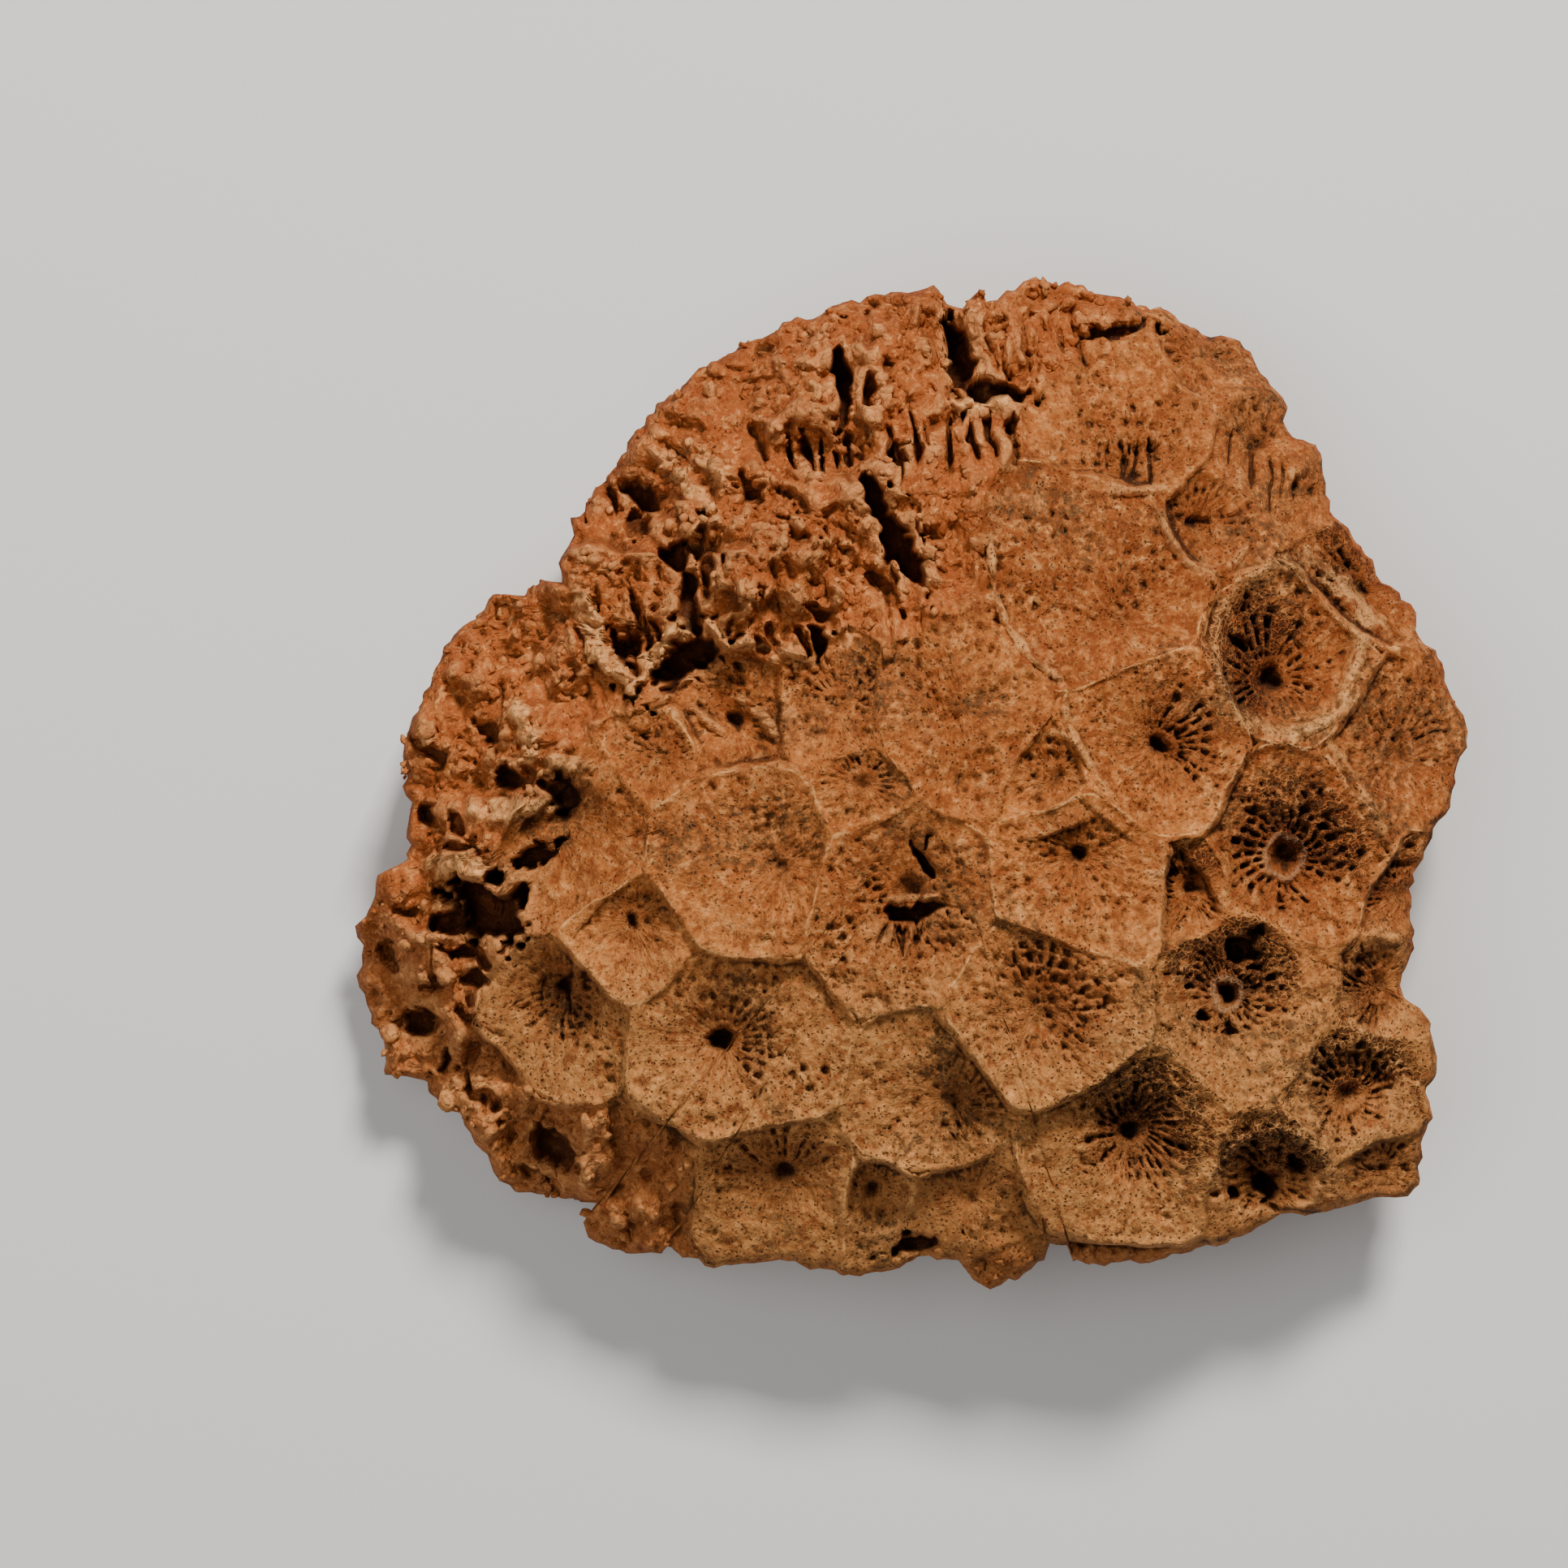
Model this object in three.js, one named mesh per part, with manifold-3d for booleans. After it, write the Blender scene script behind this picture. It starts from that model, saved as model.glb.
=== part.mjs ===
import * as THREE from 'three';
import Module from 'manifold-3d';

// Weathered piece of a colony of horn corals that grew wall to wall.
// One solid, in millimetres, +Z up, lying on a flat patch at z = 0.
// Plan positions in the tables are in drawing units with v running down the page.
const UNITS_PER_MM = 17.13;
const MIDDLE_U = 1118.5;
const MIDDLE_V = 965.5;
const HUB_U = 1150;
const HUB_V = 975;

const CROWN_HEIGHT = 28;
const DOME_POWER = 2.2;
const SWELL_SIZE = 13;
const SWELL_HEIGHT = 0.9;

// How much of the dome's slope a chamber's floor keeps, fresh and worn; the rest is steps.
const SHARP_TERRACE_SLOPE = 0.76;
const WORN_TERRACE_SLOPE = 0.97;
const WORN_SLOPE_FROM = 0.4;
const SLOPE_SPAN = 2;

// Walls between chambers, and the funnel round each pit.
const WALL_RISE = 0.25;
const WORN_WALL_LOSS = 0.6;
const BORDER_SPACING = 3.1;
const FUNNEL_WIDTH = 2.9;
const FUNNEL_SHARE = 0.6;
const SHALLOW_PIT = 0.9;
const PIT_FLOOR_SHARE = 0.62;

// Chambers more worn than this have fewer rings of points; rings are shares of the radius.
const WORN_FROM = 0.55;
const WORN_RINGS = [0.72, 0.4];
const SHARP_RINGS = [0.87, 0.58];
const WIDEST_PIT = 0.4;
const WIDEST_PIT_FLOOR = 0.25;

// Weathering: lumps where the coral is eaten away, grit all over.
const LUMP_SIZE = 3.9;
const LUMP_HEIGHT = 2.0;
const GRIT_SIZE = 1.4;
const GRIT_HEIGHT = 0.35;
const GRIT_ON_SHARP = 0.5;

// Broken sides. Facets and ribs are sized in radii of the piece, chips in millimetres.
const FACET_DEPTH = 2.4;
const FACET_SIZE = 0.53;
const FACET_LEAN = 1.2;
const RIB_DEPTH = 1.4;
const RIB_SIZE = 0.125;
const RIB_LEAN = 0.18;
const CHIP_DEPTH = 1.0;
const CHIP_RISE = 0.7;
const SIDE_TRIM = 1.8;
const UPRIGHT_SHARE = 0.65;
const FLOOR_SHARPNESS = 0.5;
const SIDE_TOP = 40;

// Ridges and holes are ragged plugs, wider at one end, as shares of their width.
const PLUG_SIDES = 7;
const PLUG_RAGGED = 0.3;
const RIDGE_FOOT = 1.3;
const RIDGE_CREST = 0.45;
const RIDGE_ROOT = 2;
const HOLE_MOUTH = 1.5;
const HOLE_FLOOR = 0.6;
const HOLE_HEADROOM = 4;

// The sheet of chambers is a little larger than the piece and is cut to it.
const SHEET_HALF_WIDTH = 44.5;
const SHEET_HALF_DEPTH = 41;
const SHEET_POWER = 3;
const SHEET_BOTTOM = -4;
const FARTHEST = 120;
const HALVINGS = 40;
const LOOK_STEPS = 1440;
const ROUND_STEPS = 72;
const ROUND_REACH = 4;

// One number for each pattern of hills, so that no two look alike.
const SWELL_SEED = 1;
const LUMP_SEED = 2;
const GRIT_SEED = 3;
const FACET_SEED = 4;
const RIB_SEED = 5;
const CHIP_SEED = 6;
const RISE_SEED = 7;
const HOLE_SEED = 8;
const RIDGE_SEED = 9;

// Height of the broken edge above the floor, every 45 degrees from +X towards +Y.
const EDGE_HEIGHTS = [13, 11, 11.5, 10, 8, 8.5, 12.5, 13.5];

// Side of the piece from the flat patch up: share of edge height, share of radius.
const SIDE_LEVELS = [
  [0, 0.8],
  [0.13, 0.88],
  [0.3, 0.94],
  [0.5, 0.99],
  [0.7, 1],
];

// Seen from above, one corner of the broken edge per entry: u, v.
const EDGE = [
  [1280, 341], [1240, 360], [1215, 375], [1208, 352], [1185, 378], [1165, 376],
  [1150, 357], [1090, 363], [1025, 373], [1000, 386], [965, 397], [920, 416],
  [870, 448], [810, 497], [790, 525], [750, 578], [728, 600], [720, 630],
  [704, 638], [710, 662], [692, 685], [688, 716], [663, 712], [645, 733],
  [608, 730], [555, 785], [515, 850], [500, 895], [491, 910], [493, 970],
  [506, 988], [497, 1022], [497, 1060], [463, 1078], [450, 1130], [434, 1142],
  [440, 1180], [430, 1205], [445, 1245], [463, 1282], [466, 1330], [520, 1337],
  [538, 1372], [562, 1374], [598, 1425], [602, 1452], [640, 1476], [736, 1484],
  [718, 1508], [724, 1528], [770, 1551], [815, 1550], [826, 1530], [838, 1556],
  [870, 1562], [940, 1557], [1000, 1562], [1060, 1572], [1108, 1560], [1130, 1546],
  [1180, 1553], [1200, 1578], [1220, 1589], [1262, 1567], [1285, 1547], [1292, 1528],
  [1314, 1530], [1322, 1555], [1375, 1562], [1450, 1551], [1500, 1532], [1580, 1496],
  [1660, 1484], [1735, 1474], [1750, 1460], [1752, 1395], [1768, 1378], [1757, 1346],
  [1768, 1325], [1768, 1262], [1750, 1242], [1730, 1230], [1722, 1195], [1742, 1168],
  [1733, 1135], [1735, 1090], [1758, 1045], [1762, 1020], [1785, 995], [1793, 940],
  [1808, 910], [1797, 862], [1770, 805], [1746, 786], [1745, 755], [1700, 705],
  [1670, 655], [1646, 634], [1638, 588], [1625, 545], [1601, 536], [1583, 516],
  [1591, 499], [1555, 456], [1545, 430], [1520, 413], [1470, 399], [1440, 381],
  [1370, 360], [1330, 348],
];

// Living chambers: centre u, v, reach, pit u, v, bowl depth, lift, pit radius,
// pit depth, and how far the weather has eaten it (0 sharp, 1 all lumps).
const CHAMBERS = [
  [1590, 1040, 100, 1573, 1058, 3.0, 0, 1.3, 1.3, 0.05],
  [1455, 1090, 40, 1455, 1085, 1.6, -0.4, 0.8, 0.8, 0.15],
  [1575, 815, 82, 1563, 835, 3.4, 0, 1.2, 1.6, 0.05],
  [1725, 915, 75, 1718, 920, 2.0, 0, 1.1, 0.4, 0.1],
  [1670, 710, 60, 1678, 722, 1.8, 0, 1.1, 0.8, 0.15],
  [1480, 645, 55, 1470, 650, 1.4, 0, 1.0, 0.6, 0.3],
  [1335, 715, 125, 1364, 762, 1.2, 0, 1.1, 0.3, 0.3],
  [1410, 915, 100, 1418, 918, 2.4, 0, 0.9, 1.5, 0.1],
  [1320, 1075, 95, 1316, 1050, 2.2, 0.3, 0.85, 1.4, 0.05],
  [1170, 880, 95, 1173, 876, 0.6, 0.1, 1.3, -0.4, 0.38],
  [1285, 955, 45, 1288, 960, 1.0, -0.3, 0.8, 0.4, 0.1],
  [1105, 1110, 100, 1118, 1095, 2.0, 0, 1.4, 0.9, 0.2],
  [910, 1280, 115, 885, 1275, 2.8, 0, 1.1, 3.0, 0.05],
  [905, 1065, 105, 965, 1060, 1.7, 0.2, 0.7, 0.5, 0.1],
  [780, 1150, 75, 782, 1136, 1.6, 0.2, 0.6, 1.0, 0.1],
  [685, 1255, 75, 689, 1214, 2.4, 0, 0.7, 1.2, 0.1],
  [955, 1450, 85, 960, 1440, 2.0, 0, 0.9, 1.2, 0.1],
  [1135, 1350, 85, 1165, 1345, 2.0, 0, 0.9, 0.6, 0.1],
  [1275, 1235, 100, 1280, 1236, 2.0, 0.6, 1.8, 0.2, 0.05],
  [1535, 1225, 85, 1503, 1218, 2.6, 0, 0.8, 2.6, 0.2],
  [1375, 1410, 100, 1393, 1393, 3.2, -0.1, 0.9, 2.2, 0.05],
  [1670, 1345, 75, 1653, 1345, 2.0, 0, 1.1, 0.5, 0.25],
  [1565, 1450, 60, 1560, 1450, 2.2, 0, 0.9, 1.4, 0.3],
  [1710, 1215, 50, 1690, 1210, 1.4, 0, 0.8, 0.4, 0.3],
  [1725, 1100, 35, 1722, 1100, 1.0, 0, 0.7, 0.4, 0.3],
  [1080, 1470, 50, 1072, 1462, 1.6, 0, 0.9, 0.8, 0.3],
  [1190, 1480, 60, 1185, 1465, 1.0, 0, 0.8, 0.3, 0.45],
  [800, 1440, 60, 800, 1440, 1.2, 0, 0.8, 0.6, 0.75],
  [715, 1040, 90, 695, 1010, 2.4, 0, 1.0, 1.4, 0.35],
  [1110, 690, 80, 1110, 690, 1.0, 0.4, 1.0, 0.4, 0.9],
  [950, 710, 85, 950, 712, -0.4, 0.9, 1.2, 0, 0.8],
  [780, 775, 65, 780, 795, 2.6, 0.8, 1.1, 1.6, 0.7],
  [1060, 450, 70, 1060, 450, 0.2, 1.0, 1.0, 0, 0.9],
  [1385, 520, 100, 1387, 588, 1.6, 0.1, 0.7, 0.6, 0.38],
  [1550, 560, 60, 1545, 545, 1.6, 0, 0.9, 0.6, 0.38],
  [1200, 430, 60, 1205, 430, 0, 0.8, 1.0, 0, 0.9],
  [1130, 560, 55, 1130, 560, 0.4, 0.8, 0.8, 0, 1],
  [900, 500, 65, 900, 500, 0.4, 0.2, 0.8, 0, 0.8],
  [800, 610, 60, 800, 612, 1.4, 0, 1.0, 0.6, 1],
  [900, 885, 60, 905, 890, 2.6, -0.8, 0.9, 1.6, 0.5],
  [640, 830, 70, 640, 830, 0.4, 0.4, 0.8, 0, 1],
  [600, 960, 60, 625, 960, 1.4, 0, 1.1, 0.8, 1],
  [560, 1120, 60, 575, 1120, 1.2, 0, 1.0, 0.4, 1],
  [510, 1230, 60, 510, 1232, 0.6, 0, 0.8, 0, 0.9],
  [600, 1330, 50, 600, 1330, 0.8, 0, 0.8, 0.4, 0.9],
  [670, 1420, 50, 670, 1410, 2.4, -0.4, 1.2, 1.2, 0.9],
  [1290, 400, 60, 1290, 400, 0.3, 0.2, 0.8, 0, 0.8],
  [1480, 440, 60, 1480, 440, 0.5, 0, 0.8, 0, 0.42],
  [1000, 560, 50, 1000, 560, 0.8, 0.2, 0.8, 0.4, 1],
  [1030, 870, 60, 1030, 870, 0.6, 0, 0.8, 0.3, 0.45],
  [1060, 970, 40, 1060, 970, 0.8, 0, 0.7, 0.4, 0.3],
  [1700, 1440, 45, 1700, 1440, 0.8, 0, 0.7, 0.2, 0.3],
  [820, 935, 40, 820, 935, 0.2, 0.5, 0.7, 0, 0.3],
  [1610, 610, 40, 1610, 610, 0.8, 0, 0.7, 0, 0.38],
  [1235, 1555, 25, 1235, 1550, 0.2, 0, 0.6, 0, 0.6],
  [780, 1520, 40, 780, 1515, 0.6, 0, 0.7, 0, 0.8],
  [1385, 1640, 110, 1385, 1600, 0, -2.2, 0.7, 0, 0.7],
];

// Broken ledges and ridges that stand up: from u, v to u, v, width, height.
const RIDGES = [
  [950, 528, 1050, 520, 2.2, 1.2],
  [1050, 520, 1165, 508, 2.2, 1.2],
  [1165, 508, 1235, 500, 1.8, 1.0],
  [722, 752, 742, 812, 1.3, 2.2],
  [742, 812, 784, 845, 1.4, 2.4],
  [784, 845, 842, 770, 1.3, 2.4],
  [640, 870, 665, 935, 1.6, 1.2],
  [590, 1000, 690, 990, 1.5, 0.9],
  [540, 1060, 620, 1075, 1.6, 1.0],
  [1195, 385, 1205, 480, 2.2, 1.2],
  [1006, 435, 1008, 485, 3.2, 1.3],
  [1096, 440, 1102, 465, 5.0, 1.4],
  [922, 698, 980, 708, 6.6, 2.6],
  [815, 650, 835, 668, 2.6, 1.1],
  [985, 575, 1055, 630, 2.6, 0.8],
  [1604, 683, 1700, 786, 1.1, 0.8],
  [1668, 800, 1640, 876, 1.0, 0.5],
  [1636, 880, 1587, 906, 1.0, 0.5],
];

// Cracks and holes cut steeply in: from u, v to u, v, width, depth.
const HOLES = [
  [1038, 440, 1040, 522, 1.1, 5],
  [1176, 400, 1182, 485, 1.8, 5],
  [1185, 488, 1245, 490, 1.4, 4],
  [1062, 592, 1085, 640, 1.3, 4],
  [1090, 648, 1108, 682, 1.6, 5],
  [1112, 690, 1133, 722, 1.4, 5],
  [1345, 412, 1410, 402, 0.9, 2.5],
  [850, 720, 858, 790, 1.6, 4],
  [826, 835, 866, 795, 2.2, 5],
  [1005, 770, 1010, 815, 1.1, 3.5],
  [775, 600, 805, 615, 1.5, 3.5],
  [832, 680, 838, 690, 1.7, 3.5],
  [590, 1118, 616, 1124, 3.8, 7],
  [530, 1137, 590, 1132, 1.7, 4],
  [500, 1262, 530, 1260, 1.7, 4],
  [618, 955, 642, 965, 1.4, 3.5],
  [698, 975, 704, 985, 1.9, 3],
  [660, 1400, 700, 1430, 2.2, 3],
  [1090, 1118, 1128, 1126, 1.5, 3],
  [1115, 1122, 1150, 1114, 1.4, 3],
  [1512, 1166, 1530, 1166, 2.0, 3],
  [1552, 1448, 1562, 1464, 1.2, 3],
  [1112, 1534, 1150, 1528, 1.3, 3],
];

const clamp01 = (t) => Math.min(1, Math.max(0, t));
const mix = (a, b, t) => a + (b - a) * t;
const ease = (t) => t * t * (3 - 2 * t);
const toPlan = (u, v) => [(u - MIDDLE_U) / UNITS_PER_MM, (MIDDLE_V - v) / UNITS_PER_MM];
const wrap = (i, n) => ((i % n) + n) % n;

const HUB = toPlan(HUB_U, HUB_V);
const edge = EDGE.map(([u, v]) => toPlan(u, v));
const chambers = CHAMBERS.map(([u, v, reach, pitU, pitV, depth, lift, pitRadius, pitDepth, wear]) => {
  const [x, y] = toPlan(u, v);
  const pit = toPlan(pitU, pitV);
  return { x, y, reach: reach / UNITS_PER_MM, pit, depth, lift, pitRadius, pitDepth, wear };
});

// Random number from 0 to 1 that belongs to a grid corner.
function corner(i, j, seed) {
  const s = Math.sin(i * 127.1 + j * 311.7 + seed * 74.7) * 43758.5453;
  return s - Math.floor(s);
}

// Smooth hills and hollows between -1 and 1, a grid square of this size apart.
function hills(x, y, size, seed) {
  const [i, j] = [Math.floor(x / size), Math.floor(y / size)];
  const a = ease(x / size - i);
  const b = ease(y / size - j);
  const low = mix(corner(i, j, seed), corner(i + 1, j, seed), a);
  const high = mix(corner(i, j + 1, seed), corner(i + 1, j + 1, seed), a);
  return 2 * mix(low, high, b) - 1;
}

// Where a ray from the hub leaves the broken edge.
function edgeRadius(angle) {
  const c = Math.cos(angle);
  const s = Math.sin(angle);
  let far = 0;
  for (let k = 0; k < edge.length; k++) {
    const [ax, ay] = [edge[k][0] - HUB[0], edge[k][1] - HUB[1]];
    const next = edge[(k + 1) % edge.length];
    const [dx, dy] = [next[0] - HUB[0] - ax, next[1] - HUB[1] - ay];
    const det = dx * s - dy * c;
    if (Math.abs(det) < 1e-9) continue;
    const along = (ay * c - ax * s) / det;
    const reach = (ay * dx - ax * dy) / det;
    if (along >= 0 && along <= 1 && reach > far) far = reach;
  }
  return far;
}

// The edge without its notches: a running mean round the hub.
const roundRadii = Array.from({ length: ROUND_STEPS }, (_, k) => {
  let sum = 0;
  for (let m = -ROUND_REACH; m <= ROUND_REACH; m++) sum += edgeRadius(((k + m) / ROUND_STEPS) * 2 * Math.PI);
  return sum / (2 * ROUND_REACH + 1);
});

function around(values, angle) {
  const t = (angle / (2 * Math.PI)) * values.length;
  const k = Math.floor(t);
  return mix(values[wrap(k, values.length)], values[wrap(k + 1, values.length)], ease(t - k));
}

// The rounded crown that the chambers stand on.
function domeHeight(x, y) {
  const angle = Math.atan2(y - HUB[1], x - HUB[0]);
  const share = Math.hypot(x - HUB[0], y - HUB[1]) / around(roundRadii, angle);
  const rim = around(EDGE_HEIGHTS, angle);
  const swell = SWELL_HEIGHT * hills(x, y, SWELL_SIZE, SWELL_SEED);
  return mix(rim, CROWN_HEIGHT, 1 - Math.pow(share, DOME_POWER)) + swell;
}

for (const chamber of chambers) {
  const [x, y] = [chamber.x, chamber.y];
  chamber.level = domeHeight(x, y) + chamber.lift;
  const worn = ease(clamp01(chamber.wear / WORN_SLOPE_FROM));
  const follow = mix(SHARP_TERRACE_SLOPE, WORN_TERRACE_SLOPE, worn);
  const riseX = domeHeight(x + SLOPE_SPAN, y) - domeHeight(x - SLOPE_SPAN, y);
  const riseY = domeHeight(x, y + SLOPE_SPAN) - domeHeight(x, y - SLOPE_SPAN);
  chamber.slopeX = (follow * riseX) / (2 * SLOPE_SPAN);
  chamber.slopeY = (follow * riseY) / (2 * SLOPE_SPAN);
}

const terrace = (chamber, x, y) =>
  chamber.level + (x - chamber.x) * chamber.slopeX + (y - chamber.y) * chamber.slopeY;

function roughness(x, y, wear) {
  const lumps = LUMP_HEIGHT * hills(x, y, LUMP_SIZE, LUMP_SEED);
  const grit = GRIT_HEIGHT * hills(x, y, GRIT_SIZE, GRIT_SEED);
  return wear * lumps + mix(GRIT_ON_SHARP, 1, wear) * grit;
}

// Distance from a chamber's centre to the rim of the sheet.
function sheetReach(chamber, c, s) {
  let near = 0;
  let far = FARTHEST;
  for (let k = 0; k < HALVINGS; k++) {
    const r = (near + far) / 2;
    const a = Math.abs((chamber.x + r * c) / SHEET_HALF_WIDTH);
    const b = Math.abs((chamber.y + r * s) / SHEET_HALF_DEPTH);
    if (Math.pow(a, SHEET_POWER) + Math.pow(b, SHEET_POWER) < 1) near = r;
    else far = r;
  }
  return near;
}

// Distance from one chamber's centre to the wall it shares with another.
function wallReach(one, other, c, s) {
  const dx = other.x - one.x;
  const dy = other.y - one.y;
  const gap = other.reach - one.reach;
  const facing = gap + dx * c + dy * s;
  return facing > 1e-6 ? (dx * dx + dy * dy - gap * gap) / (2 * facing) : Infinity;
}

// Nearest wall seen from a chamber's centre: its distance and the neighbour behind it.
function lookOut(index, angle) {
  const one = chambers[index];
  const c = Math.cos(angle);
  const s = Math.sin(angle);
  let best = sheetReach(one, c, s);
  let neighbour = -1;
  for (let k = 0; k < chambers.length; k++) {
    if (k === index) continue;
    const r = wallReach(one, chambers[k], c, s);
    if (r < best) [best, neighbour] = [r, k];
  }
  return { r: best, neighbour, x: one.x + best * c, y: one.y + best * s };
}

const sheet = { positions: [], triangles: [], keys: new Map() };

function addVertex(x, y, z) {
  sheet.positions.push(x, y, z);
  return sheet.positions.length / 3 - 1;
}

// Top of a wall: the higher of the terraces that meet there, plus the wall itself.
function wallHeight(x, y, members) {
  const real = members.filter((k) => k >= 0).map((k) => chambers[k]);
  const top = Math.max(...real.map((chamber) => terrace(chamber, x, y)));
  const wear = real.reduce((sum, chamber) => sum + chamber.wear, 0) / real.length;
  return top + WALL_RISE * (1 - WORN_WALL_LOSS * wear) + roughness(x, y, wear);
}

function sharedVertex(key, x, y, members) {
  if (!sheet.keys.has(key)) sheet.keys.set(key, addVertex(x, y, wallHeight(x, y, members)));
  return sheet.keys.get(key);
}

function findCorners(index) {
  const corners = [];
  let before = lookOut(index, 0);
  for (let k = 1; k <= LOOK_STEPS; k++) {
    const angle = (k / LOOK_STEPS) * 2 * Math.PI;
    const now = lookOut(index, angle);
    if (now.neighbour !== before.neighbour) {
      let [low, high] = [((k - 1) / LOOK_STEPS) * 2 * Math.PI, angle];
      for (let m = 0; m < HALVINGS; m++) {
        const half = (low + high) / 2;
        if (lookOut(index, half).neighbour === before.neighbour) low = half;
        else high = half;
      }
      corners.push({ angle: low, from: before.neighbour, to: now.neighbour, at: lookOut(index, low) });
    }
    before = now;
  }
  return corners;
}

const cornerKey = (index, corner) => [index, corner.from, corner.to].sort((a, b) => a - b).join('_');

// Points along the wall between two corners, shared with the neighbour behind it.
function wallPoints(index, start, end) {
  const neighbour = start.to;
  const names = [cornerKey(index, start), cornerKey(index, end)];
  const flipped = names[0] > names[1];
  const [a, b] = flipped ? [end.at, start.at] : [start.at, end.at];
  const count = Math.max(1, Math.round(Math.hypot(b.x - a.x, b.y - a.y) / BORDER_SPACING));
  const guide = neighbour < 0 ? index : Math.min(index, neighbour);
  const points = [];
  for (let k = 1; k < count; k++) {
    const x = mix(a.x, b.x, k / count);
    const y = mix(a.y, b.y, k / count);
    const one = chambers[guide];
    const angle = Math.atan2(y - one.y, x - one.x);
    const at = lookOut(guide, angle);
    const key = `${[...names].sort().join('/')}/${k}`;
    points.push(sharedVertex(key, at.x, at.y, [index, neighbour]));
  }
  return flipped ? points.reverse() : points;
}

function borderLoop(index) {
  const corners = findCorners(index);
  const loop = [];
  corners.forEach((start, k) => {
    const end = corners[(k + 1) % corners.length];
    const members = [index, start.from, start.to];
    loop.push(sharedVertex(cornerKey(index, start), start.at.x, start.at.y, members));
    loop.push(...wallPoints(index, start, end));
  });
  return loop;
}

// Height inside a chamber: its terrace, sunk a little all over and in a funnel round the pit.
function bowlHeight(chamber, x, y, share) {
  const r = Math.hypot(x - chamber.pit[0], y - chamber.pit[1]);
  const sunk = mix(1 - share, Math.exp(-((r / FUNNEL_WIDTH) ** 2)), FUNNEL_SHARE);
  return terrace(chamber, x, y) - chamber.depth * sunk + roughness(x, y, chamber.wear);
}

function ringAt(chamber, loop, shareOf, drop) {
  return loop.map((v) => {
    const bx = sheet.positions[3 * v] - chamber.pit[0];
    const by = sheet.positions[3 * v + 1] - chamber.pit[1];
    const share = shareOf(Math.hypot(bx, by));
    const x = chamber.pit[0] + share * bx;
    const y = chamber.pit[1] + share * by;
    return addVertex(x, y, bowlHeight(chamber, x, y, share) - drop);
  });
}

function stitch(outer, inner) {
  outer.forEach((a, k) => {
    const b = outer[(k + 1) % outer.length];
    const c = inner[k];
    const d = inner[(k + 1) % inner.length];
    sheet.triangles.push(a, b, d, a, d, c);
  });
}

function pitRings(chamber, loop) {
  const rim = chamber.pitRadius;
  const rings = [ringAt(chamber, loop, (r) => Math.min(WIDEST_PIT, rim / r), 0)];
  if (chamber.pitDepth > SHALLOW_PIT) {
    const floorShare = (r) => Math.min(WIDEST_PIT_FLOOR, (PIT_FLOOR_SHARE * rim) / r);
    rings.push(ringAt(chamber, loop, floorShare, chamber.pitDepth));
  }
  return rings;
}

function buildChamber(chamber, loop) {
  const worn = chamber.wear > WORN_FROM;
  const rings = (worn ? WORN_RINGS : SHARP_RINGS).map((share) => ringAt(chamber, loop, () => share, 0));
  if (!worn) rings.push(...pitRings(chamber, loop));
  let outer = loop;
  for (const ring of rings) {
    stitch(outer, ring);
    outer = ring;
  }
  const [x, y] = chamber.pit;
  const middle = addVertex(x, y, bowlHeight(chamber, x, y, 0) - chamber.pitDepth);
  outer.forEach((a, k) => sheet.triangles.push(a, outer[(k + 1) % outer.length], middle));
}

// Edges of the sheet that no second chamber uses, joined head to tail.
function openLoop() {
  const next = new Map();
  const used = new Set();
  for (let t = 0; t < sheet.triangles.length; t += 3) {
    for (let k = 0; k < 3; k++) used.add(`${sheet.triangles[t + k]}>${sheet.triangles[t + ((k + 1) % 3)]}`);
  }
  for (const name of used) {
    const [a, b] = name.split('>').map(Number);
    if (!used.has(`${b}>${a}`)) next.set(a, b);
  }
  const first = next.keys().next().value;
  const loop = [first];
  for (let v = next.get(first); v !== first; v = next.get(v)) loop.push(v);
  if (loop.length !== next.size) throw new Error('the top sheet has a gap');
  return loop;
}

function closeSheet() {
  const loop = openLoop();
  const floor = loop.map((v) => addVertex(sheet.positions[3 * v], sheet.positions[3 * v + 1], SHEET_BOTTOM));
  const middle = addVertex(HUB[0], HUB[1], SHEET_BOTTOM);
  stitch(floor, loop);
  floor.forEach((a, k) => sheet.triangles.push(floor[(k + 1) % floor.length], a, middle));
}

// Upright near the top; below that, broken in facets, ribs and chips.
function sidePoint(k, level, share, radiusShare) {
  const [ex, ey] = [edge[k][0] - HUB[0], edge[k][1] - HUB[1]];
  const angle = Math.atan2(ey, ex);
  const [c, s] = [Math.cos(angle), Math.sin(angle)];
  const facet = FACET_DEPTH * hills(c, s + FACET_LEAN * share, FACET_SIZE, FACET_SEED);
  const rib = RIB_DEPTH * hills(c, s + RIB_LEAN * share, RIB_SIZE, RIB_SEED);
  const chip = CHIP_DEPTH * (2 * corner(k, level, CHIP_SEED) - 1);
  const broken = share > UPRIGHT_SHARE ? 0 : facet + rib + chip - SIDE_TRIM;
  const sharpness = mix(FLOOR_SHARPNESS, 1, ease(clamp01(share / UPRIGHT_SHARE)));
  const outline = mix(around(roundRadii, angle), Math.hypot(ex, ey), sharpness);
  const radius = radiusShare * outline + broken;
  const rise = share > 0 ? CHIP_RISE * (2 * corner(k, level, RISE_SEED) - 1) : 0;
  return [HUB[0] + radius * c, HUB[1] + radius * s, share * around(EDGE_HEIGHTS, angle) + rise];
}

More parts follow.
